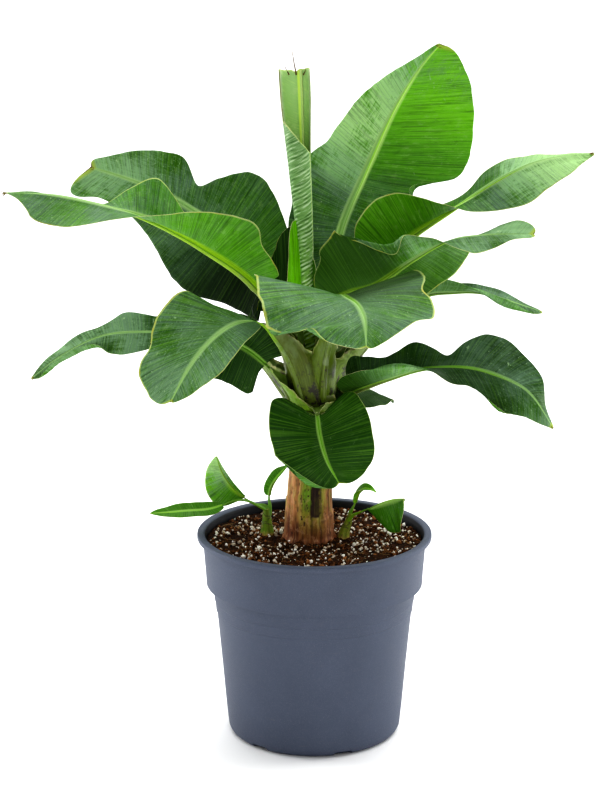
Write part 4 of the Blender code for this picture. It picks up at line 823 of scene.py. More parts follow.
# ---- dry threads at the tips ---------------------------------------------------------
def tip_threads(mats, seed):
    """Brown dried threads left at the leaf tips and at the mouth of the rolled leaf."""
    rng = np.random.default_rng(seed)
    lines = []
    for name, count, size in (('tall', 5, 5), ('left', 9, 11), ('back_left', 5, 6), ('right_high', 6, 9), ('right_small', 3, 6),
                              ('far_left', 5, 7), ('cup', 3, 4), ('right_low', 4, 6), ('front_left', 3, 5)):
        p, tan, nor, sid, _ = leaf_frame(LEAVES[name], np.array([.985]))
        for k in range(count):
            ln = size * MM * rng.uniform(.45, 1.0)
            side = rng.uniform(-1, 1)
            d = unit(tan[0] + .9 * side * sid[0] + .5 * rng.uniform(-1, 1) * nor[0])
            bend = rng.uniform(-.5, .5) * sid[0] + rng.uniform(-.7, .3) * np.array([0, 0, 1.0])
            q = np.linspace(0, 1, 9)[:, None]
            pts = p[0] + side * .0022 * sid[0] + d * ln * q + bend * ln * q ** 2 * .8
            lines.append((pts, rng.uniform(.25, .45) * MM * (1.05 - q[:, 0] * .8)))
    top = np.array([CIGAR[-1][1], CIGAR[-1][2], SOIL_Z + CIGAR[-1][0]])
    for x, y, ln, lean in ((.002, .014, .027, -.17), (-.006, .014, .009, -.5), (.010, .012, .007, .4)):
        q = np.linspace(0, 1, 14)[:, None]
        pts = top + np.array([x, y, -.006]) + np.concatenate([lean * ln * q, -.1 * ln * q ** 2, ln * q + .0005 * np.sin(q * 9)], 1)
        lines.append((pts, .75 * MM * (1.1 - q[:, 0] * .8)))
    return join_tubes('dry_threads', lines, mats, 6)


def base_flap(name, mats, lo, hi, width, power, around, tint, seed):
    """A free lower margin of the rolled leaf, standing off its side between two heights."""
    n, m = 70, 14
    t = np.linspace(0, 1, n)
    h = lo + (hi - lo) * t
    key = [c[0] for c in CIGAR]
    cx, cy, cr = (np.interp(h, key, [c[k] for c in CIGAR]) for k in (1, 2, 3))
    w = width * MM * (1 - t) ** power * (1 + .05 * wander(seed, t, .08)) + .0004
    u = np.linspace(0, 1, m)
    a = np.radians(around)
    r = cr[:, None] - .001 + (w[:, None] + .001) * u[None]
    wave = .0012 * np.sin(t * 9)[:, None] * u[None] ** 2
    P = np.stack([cx[:, None] + r * np.cos(a), cy[:, None] + r * np.sin(a) - wave, SOIL_Z + h[:, None] + .12 * (w[:, None] * u[None])], -1)
    N = unit(np.cross(np.gradient(P, axis=1), np.gradient(P, axis=0)))
    turned = N[..., 1].mean() > 0
    if turned:
        N = -N
    front, back = strip_faces(n, m, flip=turned), strip_faces(n, m, n * m, flip=not turned)
    verts = np.concatenate([(P + N * .00025).reshape(-1, 3), (P - N * .00025).reshape(-1, 3)])
    rim = rim_faces(n, m, n * m)
    which = np.concatenate([np.zeros(len(front)), np.ones(len(back)), np.full(len(rim), 2)]).astype(int)
    uv = np.stack([np.broadcast_to(h[:, None], r.shape), r], -1).reshape(-1, 2)
    one = np.ones(2 * n * m)
    marks = dict(edge=np.tile(np.tile(u, n), 2), tint=one * tint, run=np.tile(np.repeat(t * .9, m), 2), wax=one * 0, rib=one * 0)
    return build(name, verts, [front, back, rim], mats, which, np.tile(uv, (2, 1)), marks)


# ---- soil ------------------------------------------------------------------------
def soil_height(x, y):
    """Relief of the soil surface over its flat level."""
    r = np.hypot(x, y)
    a = np.arctan2(y, x) % math.tau
    z = 1.6 * grain(71, a, r, .35, .02) + 1.0 * grain(72, a, r, .13, .008) + .8 * grain(73, a, r, .06, .0045)
    ds = np.hypot(x - STEM_X, y)
    z = z + 2.6 * np.exp(-(np.clip(ds - .028, 0, 1) / .010) ** 2) - 1.5 * np.exp(-(np.clip(.124 - r, 0, 1) / .006) ** 2)
    return z * MM


def soil_body(mats):
    na, nr = 300, 92
    a = np.linspace(0, math.tau, na, endpoint=False)
    r = 0.1243 * np.linspace(0.012, 1, nr) ** 0.8
    R, A = np.meshgrid(r, a, indexing='ij')
    X, Y = R * np.cos(A), R * np.sin(A)
    Z = SOIL_Z + soil_height(X, Y)
    rng = np.random.default_rng(5)
    Z = Z + rng.uniform(-.5, .7, Z.shape) * MM * np.clip(R / .02, 0, 1)
    rings = [np.stack([X, Y, Z], -1)]
    for rr, zz in ((.1236, .222), (.1217, .1838), (.1130, .1812), (.1095, .1485), (.1035, .080), (.0965, .0135), (.0878, .0042)):
        rings.append(np.stack([rr * np.cos(a), rr * np.sin(a), np.full(na, zz)], -1)[None])
    g = np.concatenate(rings)
    n, m = g.shape[:2]
    verts = np.concatenate([g.reshape(-1, 3), [[0, 0, SOIL_Z + .001], [0, 0, .0042]]])
    f = strip_faces(n, m, wrap=True)
    i = np.arange(m)
    top = np.stack([np.full(m, n * m), i, (i + 1) % m], -1)
    low = np.stack([np.full(m, n * m + 1), (n - 1) * m + (i + 1) % m, (n - 1) * m + i], -1)
    return build('soil_detail', verts, [f, top, low], mats, np.zeros(len(f) + 2 * m))


def lumps(name, mats, count, size, seed, kind, bury=.35, clear=.0):
    """Many small uneven grains joined into one mesh."""
    rng = np.random.default_rng(seed)
    bm = bmesh.new()
    bmesh.ops.create_icosphere(bm, subdivisions=kind, radius=1.0)
    base = np.array([v.co[:] for v in bm.verts])
    tri = np.array([[v.index for v in f.verts] for f in bm.faces])
    bm.free()
    vs, fs, tone = [], [], []
    off = 0
    while len(vs) < count:
        r = 0.1225 * math.sqrt(rng.uniform(0, 1))
        a = rng.uniform(0, math.tau)
        x, y = r * math.cos(a), r * math.sin(a)
        if math.hypot(x - STEM_X, y) < .028 + clear:
            continue
        s = rng.lognormal(math.log(size), .38) * MM
        s = min(s, size * 2.3 * MM)
        if r + s > .1238:
            continue
        shape = base * (1 + .28 * rng.standard_normal((len(base), 1)).clip(-1.4, 1.4))
        shape = shape * rng.uniform(.62, 1.25, 3)
        q = rng.standard_normal(4)
        q /= np.linalg.norm(q)
        w, i, j, k = q
        rot = np.array([[1 - 2 * (j * j + k * k), 2 * (i * j - k * w), 2 * (i * k + j * w)],
                        [2 * (i * j + k * w), 1 - 2 * (i * i + k * k), 2 * (j * k - i * w)],
                        [2 * (i * k - j * w), 2 * (j * k + i * w), 1 - 2 * (i * i + j * j)]])
        z = SOIL_Z + float(soil_height(np.array([x]), np.array([y]))[0]) + s * (.55 - bury)
        vs.append(shape @ rot.T * s + np.array([x, y, z]))
        fs.append(tri + off)
        tone.append(np.full(len(base), rng.uniform(0, 1)))
        off += len(base)
    f = np.concatenate(fs)
    return build(name, np.concatenate(vs), [f], mats, np.zeros(len(f)), marks=dict(tone=np.concatenate(tone)), flat=kind == 1)


def fibres(mats, count, seed):
    rng = np.random.default_rng(seed)
    lines = []
    while len(lines) < count:
        r = 0.118 * math.sqrt(rng.uniform(0, 1))
        a = rng.uniform(0, math.tau)
        x, y = r * math.cos(a), r * math.sin(a)
        if math.hypot(x - STEM_X, y) < .031:
            continue
        ln = rng.uniform(4, 15) * MM
        d = rng.uniform(0, math.tau)
        bend = rng.uniform(-1.2, 1.2)
        s = np.linspace(-.5, .5, 7)
        px = x + ln * s * math.cos(d) - ln * bend * s ** 2 * math.sin(d)
        py = y + ln * s * math.sin(d) + ln * bend * s ** 2 * math.cos(d)
        if np.hypot(px, py).max() > .1228:
            continue
        pz = SOIL_Z + soil_height(px, py) + .0006 + .0012 * rng.uniform(0, 1) + .002 * rng.uniform(-1, 1) * s
        w = rng.uniform(.18, .5) * MM
        lines.append((np.stack([px, py, pz], -1), w * (1 - (2 * s) ** 4 * .7)))
    return join_tubes('soil_fibres', lines, mats, 5)


# ---- pot ---------------------------------------------------------------------------
def pot_body(mats):
    out = [(0.0, 0.0), (.084, 0.0), (.0900, 0.0)]
    for k in range(1, 7):
        a = math.radians(15 * k)
        out.append((.0900 + .0103 * math.sin(a), .011 * (1 - math.cos(a))))
    wall = ((.033, .1026), (.0585, .1048), (.083, .1069), (.108, .1092), (.133, .1115))
    out += [(r, z) for z, r in wall]
    for z, above, below in ((.1485, .1140, .1130), (.1612, .1158, .1149)):
        out += [(below, z - .0011), (below + .0002, z - .0009), (above - .0002, z - .0002), (above, z)]
    out += [(.1167, .1772), (.1170, .1781), (.1178, .1785), (.1236, .1788), (.1244, .1791), (.1248, .1798), (.12485, .1808)]
    out += [(.1256, .1945), (.1268, .2090), (.1279, .2240), (.1284, .2322), (.1287, .2334), (.1296, .2338), (.1340, .2338), (.1347, .2341)]
    out += [(.1351, .2350), (.1351, .2380), (.1349, .2390), (.1343, .2397), (.1333, .2400), (.1290, .2400), (.1276, .2398), (.1266, .2392), (.1261, .2380)]
    out += [(.1256, .2300), (.1242, .2080), (.1224, .1838), (.1212, .1824), (.1150, .1816), (.1144, .1806), (.1106, .1480),
            (.1066, .1020), (.1044, .080), (.1000, .030), (.0978, .0120), (.0950, .0065), (.0900, .0040), (.080, .0034), (0.0, .0034)]
    out = np.array(out)
    na = 216
    a = np.linspace(0, math.tau, na, endpoint=False)
    ring = out[1:-1]
    g = np.stack([ring[:, :1] * np.cos(a)[None], ring[:, :1] * np.sin(a)[None], np.repeat(ring[:, 1:], na, 1)], -1)
    n, m = g.shape[:2]
    verts = np.concatenate([g.reshape(-1, 3), [[0, 0, 0], [0, 0, .0034]]])
    f = strip_faces(n, m, wrap=True)
    i = np.arange(m)
    low = np.stack([np.full(m, n * m), (i + 1) % m, i], -1)
    top = np.stack([np.full(m, n * m + 1), (n - 1) * m + i, (n - 1) * m + (i + 1) % m], -1)
    ob = build('pot_detail', verts, [f, low, top], mats, np.zeros(len(f) + 2 * m))
    for q in range(6):
        ang = math.radians(-70 + 60 * q)
        me = bpy.data.meshes.new('notch_%d' % q)
        bm = bmesh.new()
        bmesh.ops.create_cube(bm, size=1.0)
        bmesh.ops.scale(bm, vec=(.024, .022, .0124), verts=bm.verts)
        bm.to_mesh(me)
        bm.free()
        cut = bpy.data.objects.new('notch_%d' % q, me)
        bpy.context.scene.collection.objects.link(cut)
        cut.location = (.1003 * math.cos(ang), .1003 * math.sin(ang), 0)
        cut.rotation_euler = (0, 0, ang)
        bev = cut.modifiers.new('round', 'BEVEL')
        bev.width = .0028
        bev.segments = 4
        bo = ob.modifiers.new('notch', 'BOOLEAN')
        bo.operation = 'DIFFERENCE'
        bo.solver = 'EXACT'
        bo.object = cut
        bpy.context.view_layer.update()
        done = bpy.data.meshes.new_from_object(ob.evaluated_get(bpy.context.evaluated_depsgraph_get()))
        ob.modifiers.clear()
        ob.data = done
        bpy.data.objects.remove(cut, do_unlink=True)
    ob.data.shade_smooth()
    ob.data.set_sharp_from_angle(angle=math.radians(38))
    return ob


# ---- materials -----------------------------------------------------------------------
class Paint:
    """A small writer of shader nodes for one Principled material."""

    def __init__(self, name):
        self.m = bpy.data.materials.new(name)
        self.m.use_nodes = True
        self.t = self.m.node_tree
        self.b = self.t.nodes['Principled BSDF']
        self.b.inputs['Roughness'].default_value = 0.5

    def put(self, socket, src):
        if isinstance(src, bpy.types.NodeSocket):
            self.t.links.new(src, socket)
        elif isinstance(src, (tuple, list)) and len(src) == 3 and socket.type == 'RGBA':
            socket.default_value = (*src, 1.0)
        else:
            socket.default_value = src

    def node(self, kind, ins=None, **props):
        n = self.t.nodes.new(kind)
        for k, v in props.items():
            setattr(n, k, v)
        for k, v in (ins or {}).items():
            self.put(n.inputs[k], v)
        return n

    def calc(self, op, a, b=0.5, clamp=False):
        n = self.node('ShaderNodeMath', {0: a, 1: b}, operation=op)
        n.use_clamp = clamp
        return n.outputs[0]

    def attr(self, name):
        return self.node('ShaderNodeAttribute', attribute_name=name).outputs['Fac']

    def uv(self):
        return self.node('ShaderNodeUVMap', uv_map='UVMap').outputs[0]

    def place(self):
        return self.node('ShaderNodeTexCoord').outputs['Object']

    def scaled(self, vec, scale, rot=(0, 0, 0)):
        return self.node('ShaderNodeMapping', {'Vector': vec, 'Scale': scale, 'Rotation': rot}).outputs[0]

    def noise(self, vec, scale=1.0, detail=2.0, rough=0.5, bent=0.0):
        n = self.node('ShaderNodeTexNoise', {'Vector': vec, 'Scale': scale, 'Detail': detail, 'Roughness': rough, 'Distortion': bent})
        return n.outputs['Fac']

    def cells(self, vec, scale=1.0, feature='F1', rand=1.0):
        n = self.node('ShaderNodeTexVoronoi', {'Vector': vec, 'Scale': scale, 'Randomness': rand}, feature=feature)
        return n.outputs['Distance']

    def span(self, x, a, b, lo=0.0, hi=1.0):
        n = self.node('ShaderNodeMapRange', {'Value': x, 'From Min': a, 'From Max': b, 'To Min': lo, 'To Max': hi})
        n.clamp = True
        n.interpolation_type = 'SMOOTHSTEP'
        return n.outputs[0]

    def ramp(self, fac, stops):
        n = self.node('ShaderNodeValToRGB', {'Fac': fac})
        e = n.color_ramp.elements
        while len(e) < len(stops):
            e.new(0.5)
        for q, (at, col) in zip(e, stops):
            q.position = at
            q.color = (*col, 1.0)
        return n.outputs[0]

    def mix(self, fac, a, b, mode='MIX'):
        n = self.node('ShaderNodeMix', data_type='RGBA', blend_type=mode)
        self.put(n.inputs[0], fac)
        self.put(n.inputs[6], a)
        self.put(n.inputs[7], b)
        return n.outputs[2]

    def bump(self, height, dist, strength=1.0, normal=None):
        n = self.node('ShaderNodeBump', {'Height': height, 'Distance': dist, 'Strength': strength})
        if normal is not None:
            self.t.links.new(normal, n.inputs['Normal'])
        return n.outputs[0]

    def done(self, colour, rough=0.5, normal=None, spec=0.5, sss=None):
        self.put(self.b.inputs['Base Color'], colour)
        self.put(self.b.inputs['Roughness'], rough)
        self.put(self.b.inputs['Specular IOR Level'], spec)
        if normal is not None:
            self.t.links.new(normal, self.b.inputs['Normal'])
        if sss:
            self.b.inputs['Subsurface Weight'].default_value = sss[0]
            self.b.inputs['Subsurface Radius'].default_value = sss[1]
            self.b.inputs['Subsurface Scale'].default_value = sss[2]
        return self.m


def leaf_paint(name, below):
    p = Paint(name)
    uv = p.uv()
    where = p.place()
    tint, edge, wax, run = (p.attr(k) for k in ('tint', 'edge', 'wax', 'run'))
    vein = p.noise(p.scaled(uv, (10.0, 900.0, 1.0)), 1.0, 1.0, 0.5)
    line = p.noise(p.scaled(uv, (5.0, 1400.0, 1.0)), 1.0, 0.0, 0.5)
    band = p.noise(p.scaled(uv, (14.0, 260.0, 1.0)), 1.0, 2.0, 0.55)
    streak = p.noise(p.scaled(uv, (30.0, 480.0, 1.0)), 1.0, 3.0, 0.6)
    patch = p.noise(where, 22.0, 4.0, 0.6)
    cross = p.noise(p.scaled(uv, (420.0, 60.0, 1.0)), 1.0, 2.0, 0.6)
    fine = p.noise(where, 520.0, 3.0, 0.6)
    # blade colour from the tint mark: the leaf's own darker or brighter green, with painted shade at low tint and
    # painted glow of light through the blade at high tint
    if below:
        col = p.ramp(tint, [(0.0, (0.016, 0.058, 0.0008)), (0.35, (0.040, 0.140, 0.001)), (0.7, (0.085, 0.290, 0.0005)), (1.0, (0.160, 0.470, 0.0005))])
        pale = (0.165, 0.290, 0.145)
    else:
        col = p.ramp(tint, [(0.0, (0.0025, 0.013, 0.0002)), (0.3, (0.015, 0.066, 0.0004)), (0.55, (0.045, 0.165, 0.0005)), (0.8, (0.085, 0.300, 0.0005)), (1.0, (0.175, 0.530, 0.0005))])
        pale = (0.118, 0.200, 0.132)
    # waxy bloom together with painted sheen: the grey-green and pale yellow-green stand in for the gloss of the top
    # light as well as the bloom, in soft patches drawn out along the side veins
    cloud = p.calc('ADD', p.calc('MULTIPLY', patch, 0.55), p.calc('MULTIPLY', streak, 0.30))
    bloom_and_sheen = p.calc('MULTIPLY', p.span(p.calc('ADD', cloud, p.calc('MULTIPLY', cross, 0.20)), 0.38, 0.66), wax, True)
    col = p.mix(p.calc('MULTIPLY', bloom_and_sheen, 0.86), col, p.mix(p.span(wax, 1.6, 2.2), p.mix(p.span(wax, 1.1, 1.6), pale, (0.290, 0.480, 0.250)), (0.500, 0.760, 0.320)))
    deep = p.mix(0.70, col, (0.003, 0.018, 0.0003))
    # pale lines along the veins: painted highlight on the vein ridges, weaker on dark blades
    lit = p.mix(0.40, col, (0.24, 0.50, 0.05))
    col = p.mix(p.calc('MULTIPLY', p.span(line, 0.55, 0.66, 0.0, 0.42), p.span(tint, 0.0, 0.5, 0.25, 1.0)), col, lit)
    col = p.mix(p.calc('MULTIPLY', p.span(vein, 0.53, 0.63, 0.0, 0.40), p.span(tint, 0.0, 0.4, 0.4, 1.0)), col, lit)
    col = p.mix(p.calc('MULTIPLY', p.span(vein, 0.47, 0.37, 0.0, 0.42), p.span(tint, 0.2, 0.6, 0.5, 1.0)), col, deep)
    rub = p.noise(p.scaled(uv, (70.0, 190.0, 1.0)), 1.0, 4.0, 0.7)
    col = p.mix(p.calc('MULTIPLY', p.span(rub, 0.52, 0.70, 0.0, 0.34), p.span(tint, 0.15, 0.5)), col, p.mix(0.6, col, (0.34, 0.52, 0.20)))
    col = p.mix(p.calc('MULTIPLY', p.span(rub, 0.46, 0.32, 0.0, 0.36), p.span(tint, 0.15, 0.5)), col, deep)
    col = p.mix(p.calc('MULTIPLY', p.span(band, 0.56, 0.68, 0.0, 0.46), p.span(tint, 0.3, 0.7, 0.25, 1.0)), col, deep)
    # small pale rubbed marks
    col = p.mix(p.calc('MULTIPLY', p.span(fine, 0.58, 0.72, 0.0, 0.5), wax), col, (0.26, 0.40, 0.22))
    col = p.mix(p.calc('MULTIPLY', p.span(p.noise(p.scaled(where, (1.0, 1.0, 0.4)), 150.0, 3.0, 0.7), 0.66, 0.72, 0.0, 0.7), p.calc('ADD', p.calc('MULTIPLY', wax, 0.7), 0.15)), col, (0.34, 0.50, 0.26))
    # the midrib: a groove between two bright rails
    mid = p.attr('rib')
    across = p.calc('ABSOLUTE', p.node('ShaderNodeSeparateXYZ', {0: uv}).outputs[0])
    long = p.noise(p.scaled(uv, (1500.0, 7.0, 1.0)), 1.0, 2.0, 0.6)
    if below:
        ribc = p.ramp(tint, [(0.0, (0.080, 0.170, 0.006)), (0.35, (0.170, 0.330, 0.006)), (0.7, (0.270, 0.500, 0.004)), (1.0, (0.330, 0.620, 0.004))])
        ribc = p.mix(p.span(long, 0.50, 0.62, 0.0, 0.30), ribc, (0.46, 0.66, 0.16))
    else:
        ribc = p.ramp(tint, [(0.0, (0.100, 0.220, 0.016)), (0.35, (0.200, 0.430, 0.035)), (0.7, (0.330, 0.640, 0.060)), (1.0, (0.420, 0.760, 0.100))])
        ribc = p.mix(p.span(across, 0.0011, 0.0026, 0.0, 0.70), ribc, p.mix(p.span(tint, 0.1, 0.5), (0.20, 0.36, 0.06), (0.56, 0.80, 0.26)))
        ribc = p.mix(p.calc('MULTIPLY', p.span(long, 0.50, 0.60, 0.0, 0.55), p.span(tint, 0.1, 0.5, 0.4, 1.0)), ribc, (0.60, 0.80, 0.36))
    ribc = p.mix(p.span(long, 0.46, 0.36, 0.0, 0.40), ribc, col)
    # the rib greys with the same bloom and painted sheen
    ribc = p.mix(p.calc('MULTIPLY', p.span(wax, 0.4, 1.1), 0.68), ribc, (0.27, 0.41, 0.20))
    col = p.mix(mid, col, ribc)
    # yellow and brown wear along the margin and at the tip
    pale_edge = p.span(p.calc('ADD', edge, p.calc('MULTIPLY', patch, 0.02)), 0.977, 0.994)
    pale_edge = p.calc('MULTIPLY', pale_edge, p.span(run, 0.02, 0.09, 0.30, 1.0))
    col = p.mix(p.calc('MULTIPLY', pale_edge, p.span(tint, 0.05, 0.4, 0.35, 0.8)), col, (0.42, 0.52, 0.18))
    worn = p.span(p.calc('ADD', edge, p.calc('MULTIPLY', p.noise(where, 75.0, 3.0, 0.65), 0.16)), 1.065, 1.095)
    col = p.mix(p.calc('MULTIPLY', worn, 0.8), col, (0.36, 0.36, 0.05))
    burnt = p.span(p.calc('ADD', edge, p.calc('MULTIPLY', p.noise(where, 120.0, 3.0, 0.7), 0.22)), 1.130, 1.150)
    col = p.mix(burnt, col, (0.050, 0.020, 0.005))
    tip = p.span(p.calc('ADD', run, p.calc('MULTIPLY', patch, 0.03)), 0.985, 1.003)
    col = p.mix(p.calc('MULTIPLY', tip, 0.8), col, (0.33, 0.42, 0.06))
    end = p.span(p.calc('ADD', run, p.calc('MULTIPLY', patch, 0.02)), 1.002, 1.009)
    col = p.mix(end, col, (0.10, 0.055, 0.015))
    rough = p.span(p.calc('ADD', vein, p.calc('MULTIPLY', bloom_and_sheen, 0.5)), 0.3, 1.1, 0.42 if not below else 0.50, 0.62)
    h = p.bump(p.calc('ADD', p.calc('ADD', vein, line), p.calc('MULTIPLY', band, 0.8)), 0.0005, 0.6)
    h = p.bump(p.calc('ADD', fine, p.calc('MULTIPLY', cross, 0.6)), 0.00022, 0.6, h)
    return p.done(col, rough, h, 0.16)


def margin_paint():
    p = Paint('leaf_margin')
    n = p.noise(p.place(), 110.0, 4.0, 0.7)
    col = p.ramp(n, [(0.26, (0.16, 0.08, 0.025)), (0.36, (0.45, 0.42, 0.20)), (0.58, (0.62, 0.66, 0.36)), (0.75, (0.34, 0.50, 0.14))])
    return p.done(col, 0.55, p.bump(n, 0.0002, 0.5), 0.4)


def rib_paint(name, below):
    p = Paint(name)
    uv = p.uv()
    young = p.attr('young')
    run = p.attr('run')
    line = p.noise(p.scaled(uv, (900.0, 14.0, 1.0)), 1.0, 2.0, 0.6)
    patch = p.noise(p.place(), 55.0, 4.0, 0.6)
    if below:
        col = p.ramp(young, [(0.0, (0.080, 0.170, 0.008)), (0.5, (0.180, 0.350, 0.006)), (1.0, (0.310, 0.520, 0.003))])
    else:
        col = p.ramp(young, [(0.0, (0.080, 0.160, 0.015)), (0.5, (0.130, 0.310, 0.018)), (1.0, (0.190, 0.450, 0.015))])
    col = p.mix(p.span(line, 0.5, 0.7, 0.0, 0.35), col, (0.30, 0.48, 0.08))
    col = p.mix(p.span(line, 0.48, 0.3, 0.0, 0.5), col, (0.035, 0.085, 0.010))
    col = p.mix(p.span(patch, 0.55, 0.75, 0.0, 0.5), col, (0.19, 0.28, 0.15))
    # inside the crown the stalk is olive with a grey bloom
    crown = p.span(run, 0.40, 0.20)
    col = p.mix(p.calc('MULTIPLY', crown, 0.85), col, p.ramp(line, [(0.32, (0.040, 0.055, 0.004)), (0.55, (0.115, 0.155, 0.010)), (0.72, (0.200, 0.260, 0.030))]))
    col = p.mix(p.calc('MULTIPLY', crown, p.span(patch, 0.50, 0.66, 0.0, 0.6)), col, (0.250, 0.310, 0.170))
    # purple-brown flecks on the stalk, thinning towards the blade
    fleck = p.calc('MULTIPLY', p.span(p.noise(p.scaled(p.place(), (1.0, 1.0, 0.45)), 210.0, 3.0, 0.7), 0.61, 0.68), p.span(run, 0.34, 0.10))
    col = p.mix(fleck, col, (0.035, 0.012, 0.018))
    h = p.bump(line, 0.0004, 0.6)
    return p.done(col, p.span(patch, 0.3, 0.8, 0.36, 0.58), h, 0.5)


def sheath_paint(name, below):
    p = Paint(name)
    uv = p.uv()
    run = p.attr('run')
    edge = p.attr('edge')
    tone = p.attr('tone')
    line = p.noise(p.scaled(uv, (620.0, 22.0, 1.0)), 1.0, 3.0, 0.6)
    wide = p.noise(p.scaled(uv, (120.0, 18.0, 1.0)), 1.0, 2.0, 0.5)
    patch = p.noise(p.place(), 60.0, 4.0, 0.62)
    col = p.ramp(tone, [(0.0, (0.058, 0.070, 0.002)), (0.5, (0.100, 0.150, 0.003)), (1.0, (0.180, 0.330, 0.015))])
    # the inner face, turned towards the stem, is darkened: painted shade
    if not below:
        col = p.mix(0.45, col, (0.045, 0.085, 0.006))
    col = p.mix(p.span(line, 0.52, 0.72, 0.0, 0.28), col, (0.30, 0.38, 0.06))
    col = p.mix(p.span(line, 0.47, 0.28, 0.0, 0.50), col, (0.026, 0.038, 0.006))
    col = p.mix(p.span(wide, 0.55, 0.75, 0.0, 0.2), col, (0.17, 0.13, 0.05))
    fleck = p.calc('MULTIPLY', p.span(p.noise(p.scaled(p.place(), (1.0, 1.0, 0.5)), 150.0, 4.0, 0.72), 0.585, 0.63), p.span(run, 0.85, 0.15))
    col = p.mix(fleck, col, (0.022, 0.008, 0.014))
    # grey-green bloom above, purple-black blotches low down
    cover = p.calc('MULTIPLY', p.span(p.noise(p.scaled(p.place(), (1.0, 1.0, 0.55)), 75.0, 3.0, 0.6), 0.44, 0.60), p.span(run, 0.30, 0.62))
    col = p.mix(p.calc('MULTIPLY', cover, 0.38), col, (0.165, 0.235, 0.080))
    blot = p.calc('MULTIPLY', p.span(p.noise(p.place(), 62.0, 4.0, 0.7), 0.50, 0.57), p.calc('MULTIPLY', p.span(run, 0.56, 0.34), p.span(run, 0.04, 0.14)))
    col = p.mix(p.calc('MULTIPLY', blot, 0.85), col, (0.014, 0.005, 0.010))
    # reddish-brown membrane at the margin, dry at the foot
    rim = p.span(p.calc('ADD', edge, p.calc('MULTIPLY', patch, 0.22)), 0.98, 1.09)
    col = p.mix(p.calc('MULTIPLY', rim, 0.85), col, p.ramp(patch, [(0.35, (0.10, 0.030, 0.022)), (0.55, (0.30, 0.36, 0.10)), (0.7, (0.42, 0.34, 0.18))]))
    dry = p.span(p.calc('ADD', run, p.calc('MULTIPLY', patch, 0.12)), 0.20, 0.06)
    col = p.mix(p.calc('MULTIPLY', dry, 0.8), col, (0.16, 0.085, 0.035))
    h = p.bump(p.calc('ADD', line, p.calc('MULTIPLY', wide, 0.6)), 0.0008, 0.75)
    return p.done(col, p.span(patch, 0.3, 0.8, 0.42, 0.66), h, 0.45)


def stem_paint():
    p = Paint('false_stem')
    uv = p.uv()
    olive, green, dark, red = (p.attr(k) for k in ('olive', 'green', 'dark', 'red'))
    line = p.noise(p.scaled(uv, (900.0, 26.0, 1.0)), 1.0, 3.0, 0.62)
    wide = p.noise(p.scaled(uv, (210.0, 20.0, 1.0)), 1.0, 3.0, 0.6)
    patch = p.noise(p.place(), 90.0, 4.0, 0.65)
    tan = p.ramp(wide, [(0.30, (0.300, 0.105, 0.030)), (0.48, (0.560, 0.260, 0.095)), (0.66, (0.720, 0.440, 0.220))])
    rust = p.ramp(wide, [(0.30, (0.080, 0.018, 0.005)), (0.55, (0.230, 0.070, 0.020)), (0.75, (0.400, 0.190, 0.085))])
    col = p.mix(red, tan, rust)
    col = p.mix(p.calc('MULTIPLY', olive, 0.85), col, p.ramp(wide, [(0.3, (0.130, 0.125, 0.008)), (0.5, (0.260, 0.290, 0.014)), (0.7, (0.380, 0.430, 0.045))]))
    col = p.mix(green, col, p.ramp(wide, [(0.3, (0.075, 0.150, 0.008)), (0.55, (0.170, 0.310, 0.012)), (0.75, (0.290, 0.480, 0.050))]))
    col = p.mix(p.span(line, 0.52, 0.72, 0.0, 0.28), col, (0.58, 0.42, 0.20))
    col = p.mix(p.span(line, 0.47, 0.28, 0.0, 0.42), col, (0.035, 0.016, 0.007))
    mott = p.noise(p.scaled(p.place(), (1.0, 1.0, 0.7)), 170.0, 4.0, 0.7)
    col = p.mix(p.span(mott, 0.54, 0.62, 0.0, 0.32), col, (0.62, 0.36, 0.19))
    col = p.mix(p.span(mott, 0.44, 0.36, 0.0, 0.45), col, (0.120, 0.055, 0.022))
    col = p.mix(p.span(patch, 0.62, 0.70, 0.0, 0.55), col, (0.030, 0.014, 0.008))
    col = p.mix(dark, col, p.ramp(line, [(0.35, (0.010, 0.004, 0.002)), (0.65, (0.060, 0.026, 0.012))]))
    h = p.bump(p.calc('ADD', line, p.calc('MULTIPLY', wide, 0.7)), 0.0011, 0.85)
    h = p.bump(patch, 0.0005, 0.4, h)
    return p.done(col, p.span(wide, 0.3, 0.8, 0.50, 0.74), h, 0.35)


